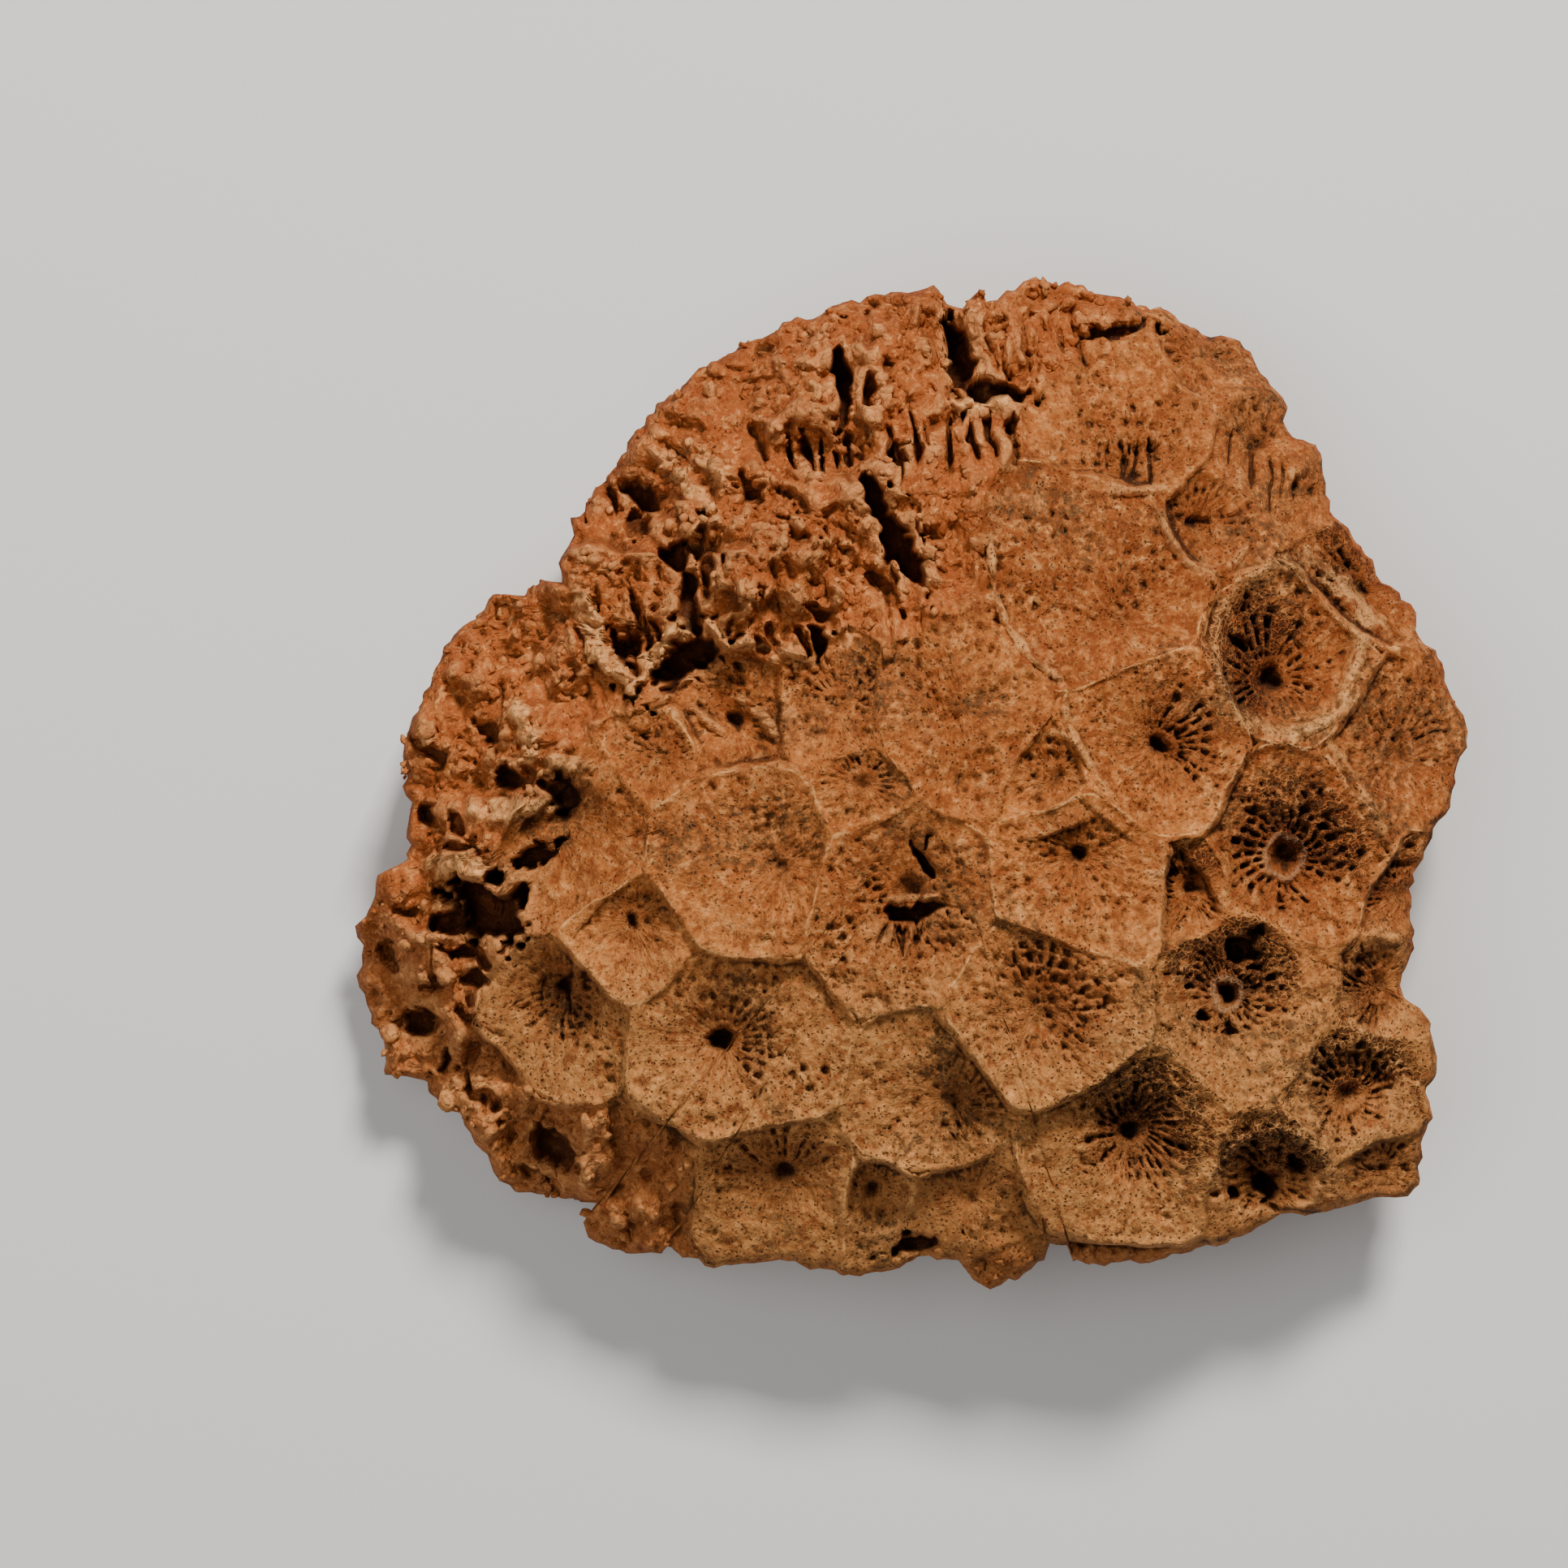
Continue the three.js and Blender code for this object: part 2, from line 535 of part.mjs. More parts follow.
// The broken sides: the edge seen from above, drawn in towards the flat patch.
function buildSides() {
  const positions = [];
  const triangles = [];
  const count = edge.length;
  SIDE_LEVELS.forEach(([share, radiusShare], level) => {
    for (let k = 0; k < count; k++) positions.push(...sidePoint(k, level, share, radiusShare));
  });
  for (let k = 0; k < count; k++) positions.push(edge[k][0], edge[k][1], SIDE_TOP);
  const rows = SIDE_LEVELS.length + 1;
  for (let row = 0; row + 1 < rows; row++) {
    for (let k = 0; k < count; k++) {
      const a = row * count + k;
      const b = row * count + ((k + 1) % count);
      triangles.push(a, b, b + count, a, b + count, a + count);
    }
  }
  const bottom = positions.length / 3;
  positions.push(HUB[0], HUB[1], 0, HUB[0], HUB[1], SIDE_TOP);
  for (let k = 0; k < count; k++) {
    const next = (k + 1) % count;
    triangles.push(next, k, bottom);
    triangles.push((rows - 1) * count + k, (rows - 1) * count + next, bottom + 1);
  }
  return { positions, triangles };
}

// A ragged oval plug along a short line, between two levels of height and spread.
function buildPlug([u0, v0, u1, v1, width], levels, order, seed) {
  const [x0, y0] = toPlan(u0, v0);
  const [x1, y1] = toPlan(u1, v1);
  const middle = [(x0 + x1) / 2, (y0 + y1) / 2];
  const length = Math.hypot(x1 - x0, y1 - y0);
  const [alongX, alongY] = [(x1 - x0) / length, (y1 - y0) / length];
  const positions = [];
  const triangles = [];
  for (const [z, spread] of levels) {
    for (let k = 0; k < PLUG_SIDES; k++) {
      const angle = (k / PLUG_SIDES) * 2 * Math.PI;
      const ragged = 1 + PLUG_RAGGED * (2 * corner(order, k, seed) - 1);
      const a = 0.5 * (length + width * spread) * Math.cos(angle) * ragged;
      const b = 0.5 * width * spread * Math.sin(angle) * ragged;
      positions.push(middle[0] + a * alongX - b * alongY, middle[1] + a * alongY + b * alongX, z);
    }
  }
  for (const [z] of levels) positions.push(...middle, z);
  const [topMiddle, floorMiddle] = [2 * PLUG_SIDES, 2 * PLUG_SIDES + 1];
  for (let k = 0; k < PLUG_SIDES; k++) {
    const next = (k + 1) % PLUG_SIDES;
    triangles.push(k, next + PLUG_SIDES, next, k, k + PLUG_SIDES, next + PLUG_SIDES);
    triangles.push(k, next, topMiddle, PLUG_SIDES + next, PLUG_SIDES + k, floorMiddle);
  }
  return { positions, triangles };
}

function buildHole(row, order) {
  const [x, y] = toPlan((row[0] + row[2]) / 2, (row[1] + row[3]) / 2);
  const depth = row[5];
  const surface = domeHeight(x, y);
  const levels = [[surface + HOLE_HEADROOM, HOLE_MOUTH], [surface - depth, HOLE_FLOOR]];
  return buildPlug(row, levels, order, HOLE_SEED);
}

// The chamber that a point lies in: the one whose reach it is deepest inside.
function ownerOf(x, y) {
  const spread = (chamber) => Math.hypot(x - chamber.x, y - chamber.y) - chamber.reach;
  return chambers.reduce((best, chamber) => (spread(chamber) < spread(best) ? chamber : best));
}

function buildRidge(row, order) {
  const [x, y] = toPlan((row[0] + row[2]) / 2, (row[1] + row[3]) / 2);
  const height = row[5];
  const owner = ownerOf(x, y);
  const surface = terrace(owner, x, y) + roughness(x, y, owner.wear);
  const levels = [[surface + height, RIDGE_CREST], [surface - RIDGE_ROOT, RIDGE_FOOT]];
  return buildPlug(row, levels, order, RIDGE_SEED);
}

const wasm = await Module();
wasm.setup();

function toSolid({ positions, triangles }) {
  const vertProperties = new Float32Array(positions);
  const triVerts = new Uint32Array(triangles);
  return new wasm.Manifold(new wasm.Mesh({ numProp: 3, vertProperties, triVerts }));
}

function toGeometry(solid) {
  const mesh = solid.getMesh();
  const geometry = new THREE.BufferGeometry();
  geometry.setAttribute('position', new THREE.BufferAttribute(new Float32Array(mesh.vertProperties), 3));
  geometry.setIndex(new THREE.BufferAttribute(new Uint32Array(mesh.triVerts), 1));
  return geometry;
}

chambers.forEach((chamber, index) => buildChamber(chamber, borderLoop(index)));
closeSheet();
let colony = toSolid(sheet);
RIDGES.forEach((row, order) => {
  colony = colony.add(toSolid(buildRidge(row, order)));
});
colony = colony.intersect(toSolid(buildSides()));
HOLES.forEach((row, order) => {
  colony = colony.subtract(toSolid(buildHole(row, order)));
});

const stone = new THREE.MeshStandardMaterial({ color: '#b4753d', roughness: 0.9, metalness: 0 });
const coral = new THREE.Mesh(toGeometry(colony), stone);
coral.name = 'coral_colony';

const part = new THREE.Group();
part.name = 'fossil_coral';
part.add(coral);

export default part;
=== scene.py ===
from collections import namedtuple

import bmesh
import bpy
import numpy as np
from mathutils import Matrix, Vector


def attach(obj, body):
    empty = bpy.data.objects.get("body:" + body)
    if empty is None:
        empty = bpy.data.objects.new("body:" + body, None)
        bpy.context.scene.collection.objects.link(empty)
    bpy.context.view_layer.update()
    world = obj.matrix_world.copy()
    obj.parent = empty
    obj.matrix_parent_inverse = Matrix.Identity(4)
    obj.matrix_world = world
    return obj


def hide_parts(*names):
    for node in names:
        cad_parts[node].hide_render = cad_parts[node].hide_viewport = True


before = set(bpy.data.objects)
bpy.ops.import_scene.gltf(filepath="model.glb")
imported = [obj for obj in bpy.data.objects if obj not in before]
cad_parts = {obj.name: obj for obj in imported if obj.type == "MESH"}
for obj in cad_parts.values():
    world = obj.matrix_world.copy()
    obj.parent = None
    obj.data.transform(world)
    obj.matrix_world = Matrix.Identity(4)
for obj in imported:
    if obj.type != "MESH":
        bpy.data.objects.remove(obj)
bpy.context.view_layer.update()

# The weathered coral chunk. Shapes are worked out in millimetres and become metres
# when the mesh is made. Plan positions in the tables are in drawing units, v downwards,
# the same drawing that the solid is made from.
UNITS_PER_MM = 17.13
MIDDLE_U = 1118.5
MIDDLE_V = 965.5
HUB_U = 1150
HUB_V = 975
MM_PER_METRE = 1000
FULL_TURN = 2 * np.pi
TINY = 1e-9
FAR = 1e9

# The outline is kept as radii at even steps round the hub, once as it is and once rounded off.
FINE_STEPS = 7200
ROUND_STEPS = 72
ROUND_REACH = 4

# A pattern of smooth hills or of packed grains: size in millimetres, a seed, and its height.
Pattern = namedtuple("Pattern", "size seed height")

CROWN_HEIGHT = 28
DOME_POWER = 2.2
SWELL = Pattern(13, 1, 0.9)
LUMPS = Pattern(3.9, 2, 2.0)
GRIT = Pattern(1.4, 3, 0.35)
GRIT_ON_SHARP = 0.5

# How much of the dome's slope a chamber's floor keeps, fresh and worn; the rest is steps.
SHARP_TERRACE_SLOPE = 0.76
WORN_TERRACE_SLOPE = 0.97
WORN_SLOPE_FROM = 0.4
SLOPE_SPAN = 2
WALL_FLARE = 0.22
CLIFF_SLOPE = 5.0
GENTLE_SLOPE = 1.2
TALUS = 0.35
STEEP_PATCHES = Pattern(4.3, 18, 1)
CORNER_ROUNDING = 0.9
UNDERLAP = 1.6
WOBBLE_X = [Pattern(4.1, 11, 0.45), Pattern(1.9, 12, 0.2), Pattern(0.6, 13, 0.07)]
WOBBLE_Y = [Pattern(4.1, 14, 0.45), Pattern(1.9, 15, 0.2), Pattern(0.6, 16, 0.07)]
TWIST = Pattern(1.7, 17, 0.07)

# Broken sides. Facets and ribs are sized in radii of the piece, the rest in millimetres.
FACETS = Pattern(0.53, 4, 2.4)
RIBS = Pattern(0.125, 5, 1.4)
FACET_LEAN = 1.2
RIB_LEAN = 0.18
CHIP_SEED = 6
CHIP_DEPTH = 1.0
RISE_SEED = 7
CHIP_RISE = 0.7
SIDE_TRIM = 1.8
UPRIGHT_SHARE = 0.65
FLOOR_SHARPNESS = 0.5
RIM_BLEND = 1.5
MEAN_RADIUS = 37
SEAM = 4

# The camera hangs over the floor and looks straight down, as in the photograph.
EYE_HEIGHT = 500
EYE_X = -8.9
VIEW_WIDTH = 115.55
SENSOR_WIDTH = 36

# In metres: half the floor's side, how far it lies under the stone, where the lights point,
# and the depth of the bump.
FLOOR_REACH = 3.0
FLOOR_DROP = 0.0001
LIT_PLACE = (0, 0, 0.01)
BUMP_DEPTH = 0.001

# Patterns of the fine skin: plates, pores and grit inside the chambers.
LUCK_SEED = 20
CREST_GAPS = Pattern(3.1, 23, 1)
OPEN_PATCHES = Pattern(2.2, 24, 0.7)
PECK_PATCHES = Pattern(2.6, 25, 1)
RIM_BENDS = Pattern(1, 26, 0.2)
SCALES = Pattern(1.7, 27, 0.25)
SCALE_BENDS = Pattern(1, 28, 0.3)
FINE_GRAINS = Pattern(0.55, 29, 0.4)

# Scattered pores, and how wide they are as a share of their size.
PECKS = Pattern(1.3, 42, 0.8)
PECK_WIDTH = 0.36
SMALL_PECKS = Pattern(0.7, 43, 0.45)
SMALL_PECK_WIDTH = 0.34

# Each chamber has a pit in a funnel, and this many radial plates or a few more.
FUNNEL_REACH = 2.9
PIT_LEAN = 0.45
RING_GAP = 0.35
FEWEST_PLATES = 24
MORE_PLATES = 7
PLATE_WAVE = 0.14
WAVE_PACE = 1.3
BAR_SPACING = 1.0
FAR_BAR_SPACING = 0.8

# Patterns where the weather has eaten the coral away, and the wear from which they show.
EATEN_FROM = 0.35
EATEN_FULLY = 0.8
BEND_X = [Pattern(1.7, 31, 0.3), Pattern(0.5, 32, 0.12)]
BEND_Y = [Pattern(1.7, 33, 0.3), Pattern(0.5, 34, 0.12)]
KNOBS = Pattern(2.9, 35, 1.6)
BEADS = Pattern(1.35, 36, 0.65)
BEAD_PATCHES = Pattern(2.9, 37, 1)
CRUMBS = Pattern(0.66, 38, 0.26)
SLOTS = Pattern(0.62, 39, 1)
SLOT_PATCHES = Pattern(3.3, 40, 1)
SLOT_DEPTH = 0.85
HOLLOWS = Pattern(1.5, 41, 1)
HOLLOW_DEPTH = 1.15
TEETH = Pattern(1.0, 44, 0.3)
LEAN_X = Pattern(1.3, 45, 0.35)
LEAN_Y = Pattern(1.3, 46, 0.35)
LEAN_REACH = 2

# Ridges and holes are ragged ovals: sizes of the rags, and a seed for each kind.
RAGS_SIZE = 1.3
FINE_RAGS_SIZE = 0.5
RIDGE_SEED = 51
HOLE_SEED = 52
SMALL_HOLE_SEED = 53
SLIT_SEED = 55
THIN_RIDGE = 1.9

# Crumbs that stand on the eaten parts, in two sizes: spacing, smallest and largest radius.
CRUMB_SIZES = {"nodules": (1.15, 0.3, 0.8), "grains": (0.8, 0.2, 0.4)}
BIG_CRUMB = 0.5
CRUMB_SEED = 71
CRUMB_PATCHES = Pattern(1.9, 74, 1)
CRUMB_RAGGED = 0.42
CRUMB_SINK = 0.3

# Grit and pocks on the broken side, grit along the edge, and how the face goes down there.
SIDE_GRIT = [Pattern(1.1, 61, 0.3), Pattern(0.45, 62, 0.15)]
SIDE_GRIT_TRIM = 0.25
POCKS = Pattern(1.5, 64, 0.5)
EDGE_GRIT = [Pattern(1.6, 65, 0.3), Pattern(0.6, 66, 0.2)]
EDGE_TRIM = 0.1
RIM_BAND = 1.6
WORN_RIM_BAND = 0.8
RIM_DROP = 0.7
RIM_DROP_REACH = 0.9

# Grid of the fine skin before it is thinned out, and how many triangles it keeps.
AROUND = 1800
TOP_ROWS = 300
SIDE_ROWS = 84
BLEND_ROWS = 3
FLOOR_ROWS = 6
KEEP_TRIANGLES = 190_000

# Map of the face's height from above, and how many of its cells it is smoothed over.
MAP_STEP = 0.12
MAP_WEST = -42
MAP_SOUTH = -38
BLUR_CELLS = (7, 2)

# The colouring tells distances to a wall only up to this.
WALL_FAR = 5

# Height of the edge at even steps round the hub, from +X towards +Y.
EDGE_HEIGHTS = [13, 11, 11.5, 10, 8, 8.5, 12.5, 13.5]

# Side of the piece from the flat patch up: share of edge height, share of radius.
SIDE_LEVELS = [(0, 0.8), (0.13, 0.88), (0.3, 0.94), (0.5, 0.99), (0.7, 1)]

# Seen from above, one corner of the broken edge per entry: u, v.
EDGE = [
    (1280, 341), (1240, 360), (1215, 375), (1208, 352), (1185, 378), (1165, 376),
    (1150, 357), (1090, 363), (1025, 373), (1000, 386), (965, 397), (920, 416),
    (870, 448), (810, 497), (790, 525), (750, 578), (728, 600), (720, 630),
    (704, 638), (710, 662), (692, 685), (688, 716), (663, 712), (645, 733),
    (608, 730), (555, 785), (515, 850), (500, 895), (491, 910), (493, 970),
    (506, 988), (497, 1022), (497, 1060), (463, 1078), (450, 1130), (434, 1142),
    (440, 1180), (430, 1205), (445, 1245), (463, 1282), (466, 1330), (520, 1337),
    (538, 1372), (562, 1374), (598, 1425), (602, 1452), (640, 1476), (736, 1484),
    (718, 1508), (724, 1528), (770, 1551), (815, 1550), (826, 1530), (838, 1556),
    (870, 1562), (940, 1557), (1000, 1562), (1060, 1572), (1108, 1560), (1130, 1546),
    (1180, 1553), (1200, 1578), (1220, 1589), (1262, 1567), (1285, 1547), (1292, 1528),
    (1314, 1530), (1322, 1555), (1375, 1562), (1450, 1551), (1500, 1532), (1580, 1496),
    (1660, 1484), (1735, 1474), (1750, 1460), (1752, 1395), (1768, 1378), (1757, 1346),
    (1768, 1325), (1768, 1262), (1750, 1242), (1730, 1230), (1722, 1195), (1742, 1168),
    (1733, 1135), (1735, 1090), (1758, 1045), (1762, 1020), (1785, 995), (1793, 940),
    (1808, 910), (1797, 862), (1770, 805), (1746, 786), (1745, 755), (1700, 705),
    (1670, 655), (1646, 634), (1638, 588), (1625, 545), (1601, 536), (1583, 516),
    (1591, 499), (1555, 456), (1545, 430), (1520, 413), (1470, 399), (1440, 381),
    (1370, 360), (1330, 348),
]

# Living chambers: centre u, v, reach, pit u, v, bowl depth, lift, pit radius,
# pit depth, how far the weather has eaten it (0 sharp, 1 all lumps), height of the edge
# that stands up round the chamber, height of the ring round the pit, how open its pores are,
# the side on which they are most open, in degrees from +X towards +Y, and how rusty it is.
# A row may end early: the rest is then 0, 0, 0.6, 90 and 0.4, as Chamber says.
CHAMBERS = [
    (1590, 1040, 100, 1573, 1058, 3.0, 0, 1.3, 1.3, 0.05, 0.1, 0.5, 1.0, 60, 0.6),
    (1455, 1090, 40, 1455, 1085, 1.6, -0.4, 0.8, 0.8, 0.15, 0.15, 0, 0.9, 90, 0.3),
    (1575, 815, 82, 1563, 835, 3.4, 0, 1.2, 1.6, 0.05, 0.3, 0, 1.0, 150, 0.7),
    (1725, 915, 75, 1718, 920, 2.0, 0, 1.1, 0.4, 0.1, 0.15, 0.25, 0.4, 60, 0.7),
    (1670, 710, 60, 1678, 722, 1.8, 0, 1.1, 0.8, 0.15, 0.25, 0, 0.8, 90, 0.7),
    (1480, 645, 55, 1470, 650, 1.4, 0, 1.0, 0.6, 0.3, 0, 0, 0.5, 90, 0.7),
    (1335, 715, 125, 1364, 762, 1.2, 0, 1.1, 0.3, 0.3, 0.22, 0, 0.3, 100, 0.95),
    (1410, 915, 100, 1418, 918, 2.4, 0, 0.9, 1.5, 0.1, 0.12, 0.12, 0.7, 40, 0.35),
    (1320, 1075, 95, 1316, 1050, 2.2, 0.3, 0.85, 1.4, 0.05, 0.1, 0, 0.25, 100, 0.1),
    (1170, 880, 95, 1173, 876, 0.6, 0.1, 1.3, -0.4, 0.38, 0, 0, 0.3, 90, 0.55),
    (1285, 955, 45, 1288, 960, 1.0, -0.3, 0.8, 0.4, 0.1, 0.1, 0, 0.2, 90, 0),
    (1105, 1110, 100, 1118, 1095, 2.0, 0, 1.4, 0.9, 0.2, 0.1, 0, 0.5, 250, 0.5),
    (910, 1280, 115, 885, 1275, 2.8, 0, 1.1, 3.0, 0.05, 0.1, 0, 0.45, 20, 0.2),
    (905, 1065, 105, 965, 1060, 1.7, 0.2, 0.7, 0.5, 0.1, 0.15, 0, 0.15, 20, 0.15),
    (780, 1150, 75, 782, 1136, 1.6, 0.2, 0.6, 1.0, 0.1, 0.15, 0, 0.15, 90, 0),
    (685, 1255, 75, 689, 1214, 2.4, 0, 0.7, 1.2, 0.1, 0.12, 0, 0.55, 290),
    (955, 1450, 85, 960, 1440, 2.0, 0, 0.9, 1.2, 0.1, 0.1, 0.1, 0.5, 90, 0.2),
    (1135, 1350, 85, 1165, 1345, 2.0, 0, 0.9, 0.6, 0.1, 0.1, 0, 0.4, 0, 0.25),
    (1275, 1235, 100, 1280, 1236, 2.0, 0.6, 1.8, 0.2, 0.05, 0.1, 0, 0.5, 20, 0.05),
    (1535, 1225, 85, 1503, 1218, 2.6, 0, 0.8, 2.6, 0.2, 0.04, 0.55, 1.0, 90, 0.3),
    (1375, 1410, 100, 1393, 1393, 3.2, -0.1, 0.9, 2.2, 0.05, 0.1, 0, 1.0, 80, 0.05),
    (1670, 1345, 75, 1653, 1345, 2.0, 0, 1.1, 0.5, 0.25, 0.02, 0.2, 1.0, 90, 0.35),
    (1565, 1450, 60, 1560, 1450, 2.2, 0, 0.9, 1.4, 0.3, 0.05, 0.2, 1.0, 90, 0.1),
    (1710, 1215, 50, 1690, 1210, 1.4, 0, 0.8, 0.4, 0.3, 0.05, 0.1, 0.8, 180),
    (1725, 1100, 35, 1722, 1100, 1.0, 0, 0.7, 0.4, 0.3, 0.2, 0, 0.8),
    (1080, 1470, 50, 1072, 1462, 1.6, 0, 0.9, 0.8, 0.3, 0.1, 0.1, 0.5),
    (1190, 1480, 60, 1185, 1465, 1.0, 0, 0.8, 0.3, 0.45, 0, 0, 0.4),
    (800, 1440, 60, 800, 1440, 1.2, 0, 0.8, 0.6, 0.75, 0, 0, 0.5),
    (715, 1040, 90, 695, 1010, 2.4, 0, 1.0, 1.4, 0.35, 0.2, 0, 0.4, 90, 0.5),
    (1110, 690, 80, 1110, 690, 1.0, 0.4, 1.0, 0.4, 0.9, 0, 0, 0.8),
    (950, 710, 85, 950, 712, -0.4, 0.9, 1.2, 0, 0.8, 0, 0, 1.0),
    (780, 775, 65, 780, 795, 2.6, 0.8, 1.1, 1.6, 0.7, 0.3, 0, 0.8),
    (1060, 450, 70, 1060, 450, 0.2, 1.0, 1.0, 0, 0.9, 0, 0, 0.8),
    (1385, 520, 100, 1387, 588, 1.6, 0.1, 0.7, 0.6, 0.38, 0, 0, 0.3),
    (1550, 560, 60, 1545, 545, 1.6, 0, 0.9, 0.6, 0.38, 0, 0, 0.3, 90, 0.5),
    (1200, 430, 60, 1205, 430, 0, 0.8, 1.0, 0, 0.9),
    (1130, 560, 55, 1130, 560, 0.4, 0.8, 0.8, 0, 1),
    (900, 500, 65, 900, 500, 0.4, 0.2, 0.8, 0, 0.8),
    (800, 610, 60, 800, 612, 1.4, 0, 1.0, 0.6, 1),
    (900, 885, 60, 905, 890, 2.6, -0.8, 0.9, 1.6, 0.5, 0.1),
    (640, 830, 70, 640, 830, 0.4, 0.4, 0.8, 0, 1),
    (600, 960, 60, 625, 960, 1.4, 0, 1.1, 0.8, 1),
    (560, 1120, 60, 575, 1120, 1.2, 0, 1.0, 0.4, 1),
    (510, 1230, 60, 510, 1232, 0.6, 0, 0.8, 0, 0.9),
    (600, 1330, 50, 600, 1330, 0.8, 0, 0.8, 0.4, 0.9),
    (670, 1420, 50, 670, 1410, 2.4, -0.4, 1.2, 1.2, 0.9),
    (1290, 400, 60, 1290, 400, 0.3, 0.2, 0.8, 0, 0.8, 0, 0, 0.6, 90, 0.3),
    (1480, 440, 60, 1480, 440, 0.5, 0, 0.8, 0, 0.42, 0, 0, 0.6, 90, 0.2),
    (1000, 560, 50, 1000, 560, 0.8, 0.2, 0.8, 0.4, 1),
    (1030, 870, 60, 1030, 870, 0.6, 0, 0.8, 0.3, 0.45),
    (1060, 970, 40, 1060, 970, 0.8, 0, 0.7, 0.4, 0.3, 0.1),
    (1700, 1440, 45, 1700, 1440, 0.8, 0, 0.7, 0.2, 0.3, 0.1),
    (820, 935, 40, 820, 935, 0.2, 0.5, 0.7, 0, 0.3, 0.15),
    (1610, 610, 40, 1610, 610, 0.8, 0, 0.7, 0, 0.38),
    (1235, 1555, 25, 1235, 1550, 0.2, 0, 0.6, 0, 0.6),
    (780, 1520, 40, 780, 1515, 0.6, 0, 0.7, 0, 0.8),
    (1385, 1640, 110, 1385, 1600, 0, -2.2, 0.7, 0, 0.7, 0, 0, 0.4),
]

# Broken ledges and ridges that stand up: from u, v to u, v, width, height.
RIDGES = [
    (950, 528, 1050, 520, 2.2, 1.2), (1050, 520, 1165, 508, 2.2, 1.2), (1165, 508, 1235, 500, 1.8, 1.0),
    (722, 752, 742, 812, 1.3, 2.2), (742, 812, 784, 845, 1.4, 2.4), (784, 845, 842, 770, 1.3, 2.4),
    (640, 870, 665, 935, 1.6, 1.2), (590, 1000, 690, 990, 1.5, 0.9), (540, 1060, 620, 1075, 1.6, 1.0),
    (1195, 385, 1205, 480, 2.2, 1.2), (1006, 435, 1008, 485, 3.2, 1.3), (1096, 440, 1102, 465, 5.0, 1.4),
    (922, 698, 980, 708, 6.6, 2.6), (815, 650, 835, 668, 2.6, 1.1), (985, 575, 1055, 630, 2.6, 0.8),
    (1604, 683, 1700, 786, 1.1, 0.8), (1668, 800, 1640, 876, 1.0, 0.5), (1636, 880, 1587, 906, 1.0, 0.5),
]

# Smaller ridges, too fine for the solid.
SMALL_RIDGES = [
    (800, 545, 880, 640, 1.2, 0.8), (845, 545, 890, 600, 1.0, 0.7), (665, 935, 740, 945, 1.0, 0.7),
    (867, 757, 898, 795, 0.6, 0.6), (898, 795, 954, 804, 0.6, 0.6), (954, 804, 1016, 823, 0.6, 0.6),
    (1360, 612, 1440, 605, 0.7, 0.5), (1088, 1104, 1152, 1100, 0.5, 0.5), (1620, 905, 1662, 960, 0.8, 0.5),
    (1662, 960, 1700, 1035, 0.8, 0.5), (865, 880, 893, 905, 0.7, 0.7), (915, 865, 940, 885, 0.7, 0.7),
    (940, 880, 960, 915, 0.6, 0.6), (1540, 1040, 1552, 1085, 0.5, 0.3), (1410, 620, 1445, 695, 0.6, 0.5),
    (1212, 655, 1217, 727, 0.6, 0.6), (1217, 727, 1232, 775, 0.6, 0.6), (1232, 775, 1258, 812, 0.6, 0.6),
    (1258, 812, 1300, 844, 0.6, 0.6), (1300, 844, 1304, 895, 0.6, 0.6), (1304, 895, 1341, 957, 0.6, 0.6),
    (1341, 957, 1366, 988, 0.5, 0.3), (1445, 695, 1500, 712, 0.6, 0.5), (1500, 712, 1530, 675, 0.6, 0.5),
    (1628, 700, 1698, 772, 1.6, 0.8),
]

# Bowls with a low oval rim: centre u, v, half width, half height, width of the rim,
# how high it stands, and how far the bowl is sunk.
BOWLS = [
    (1578, 802, 90, 104, 0.55, 0.6, 0.8),
    (1660, 1342, 56, 62, 0.6, 0.35, 0.7),
    (1560, 1440, 68, 54, 0.6, 0.45, 0.7),
    (1077, 1466, 44, 50, 0.4, 0.35, 0.0),
    (1690, 1213, 40, 62, 0.6, 0.3, 0.8),
]
BOWL_BENDS = Pattern(1.3, 56, 0.2)

# Combs of fine slits: from u, v to u, v, how many, length and slant of a slit, width, depth.
COMBS = [
    (955, 545, 1100, 536, 6, 36, 8, 0.5, 2.0),
    (1110, 530, 1235, 522, 6, 42, 2, 0.45, 2.0),
    (900, 762, 1010, 790, 6, 24, 3, 0.5, 1.5),
    (1345, 545, 1425, 540, 8, 40, 0, 0.3, 0.7),
    (1085, 1136, 1150, 1130, 6, 20, -3, 0.35, 1.0),
    (1500, 520, 1600, 590, 7, 40, -4, 0.35, 0.7),
    (1225, 395, 1330, 380, 5, 60, 6, 0.45, 0.8),
    (770, 700, 800, 770, 4, 40, 6, 0.5, 1.6),
    (690, 620, 760, 560, 5, 34, 14, 0.5, 1.5),
    (668, 1212, 712, 1215, 5, 26, 0, 0.25, 0.7),
    (750, 775, 812, 770, 4, 34, 6, 0.5, 1.8),
]
COMB_SEED = 54
COMB_JITTER = 16

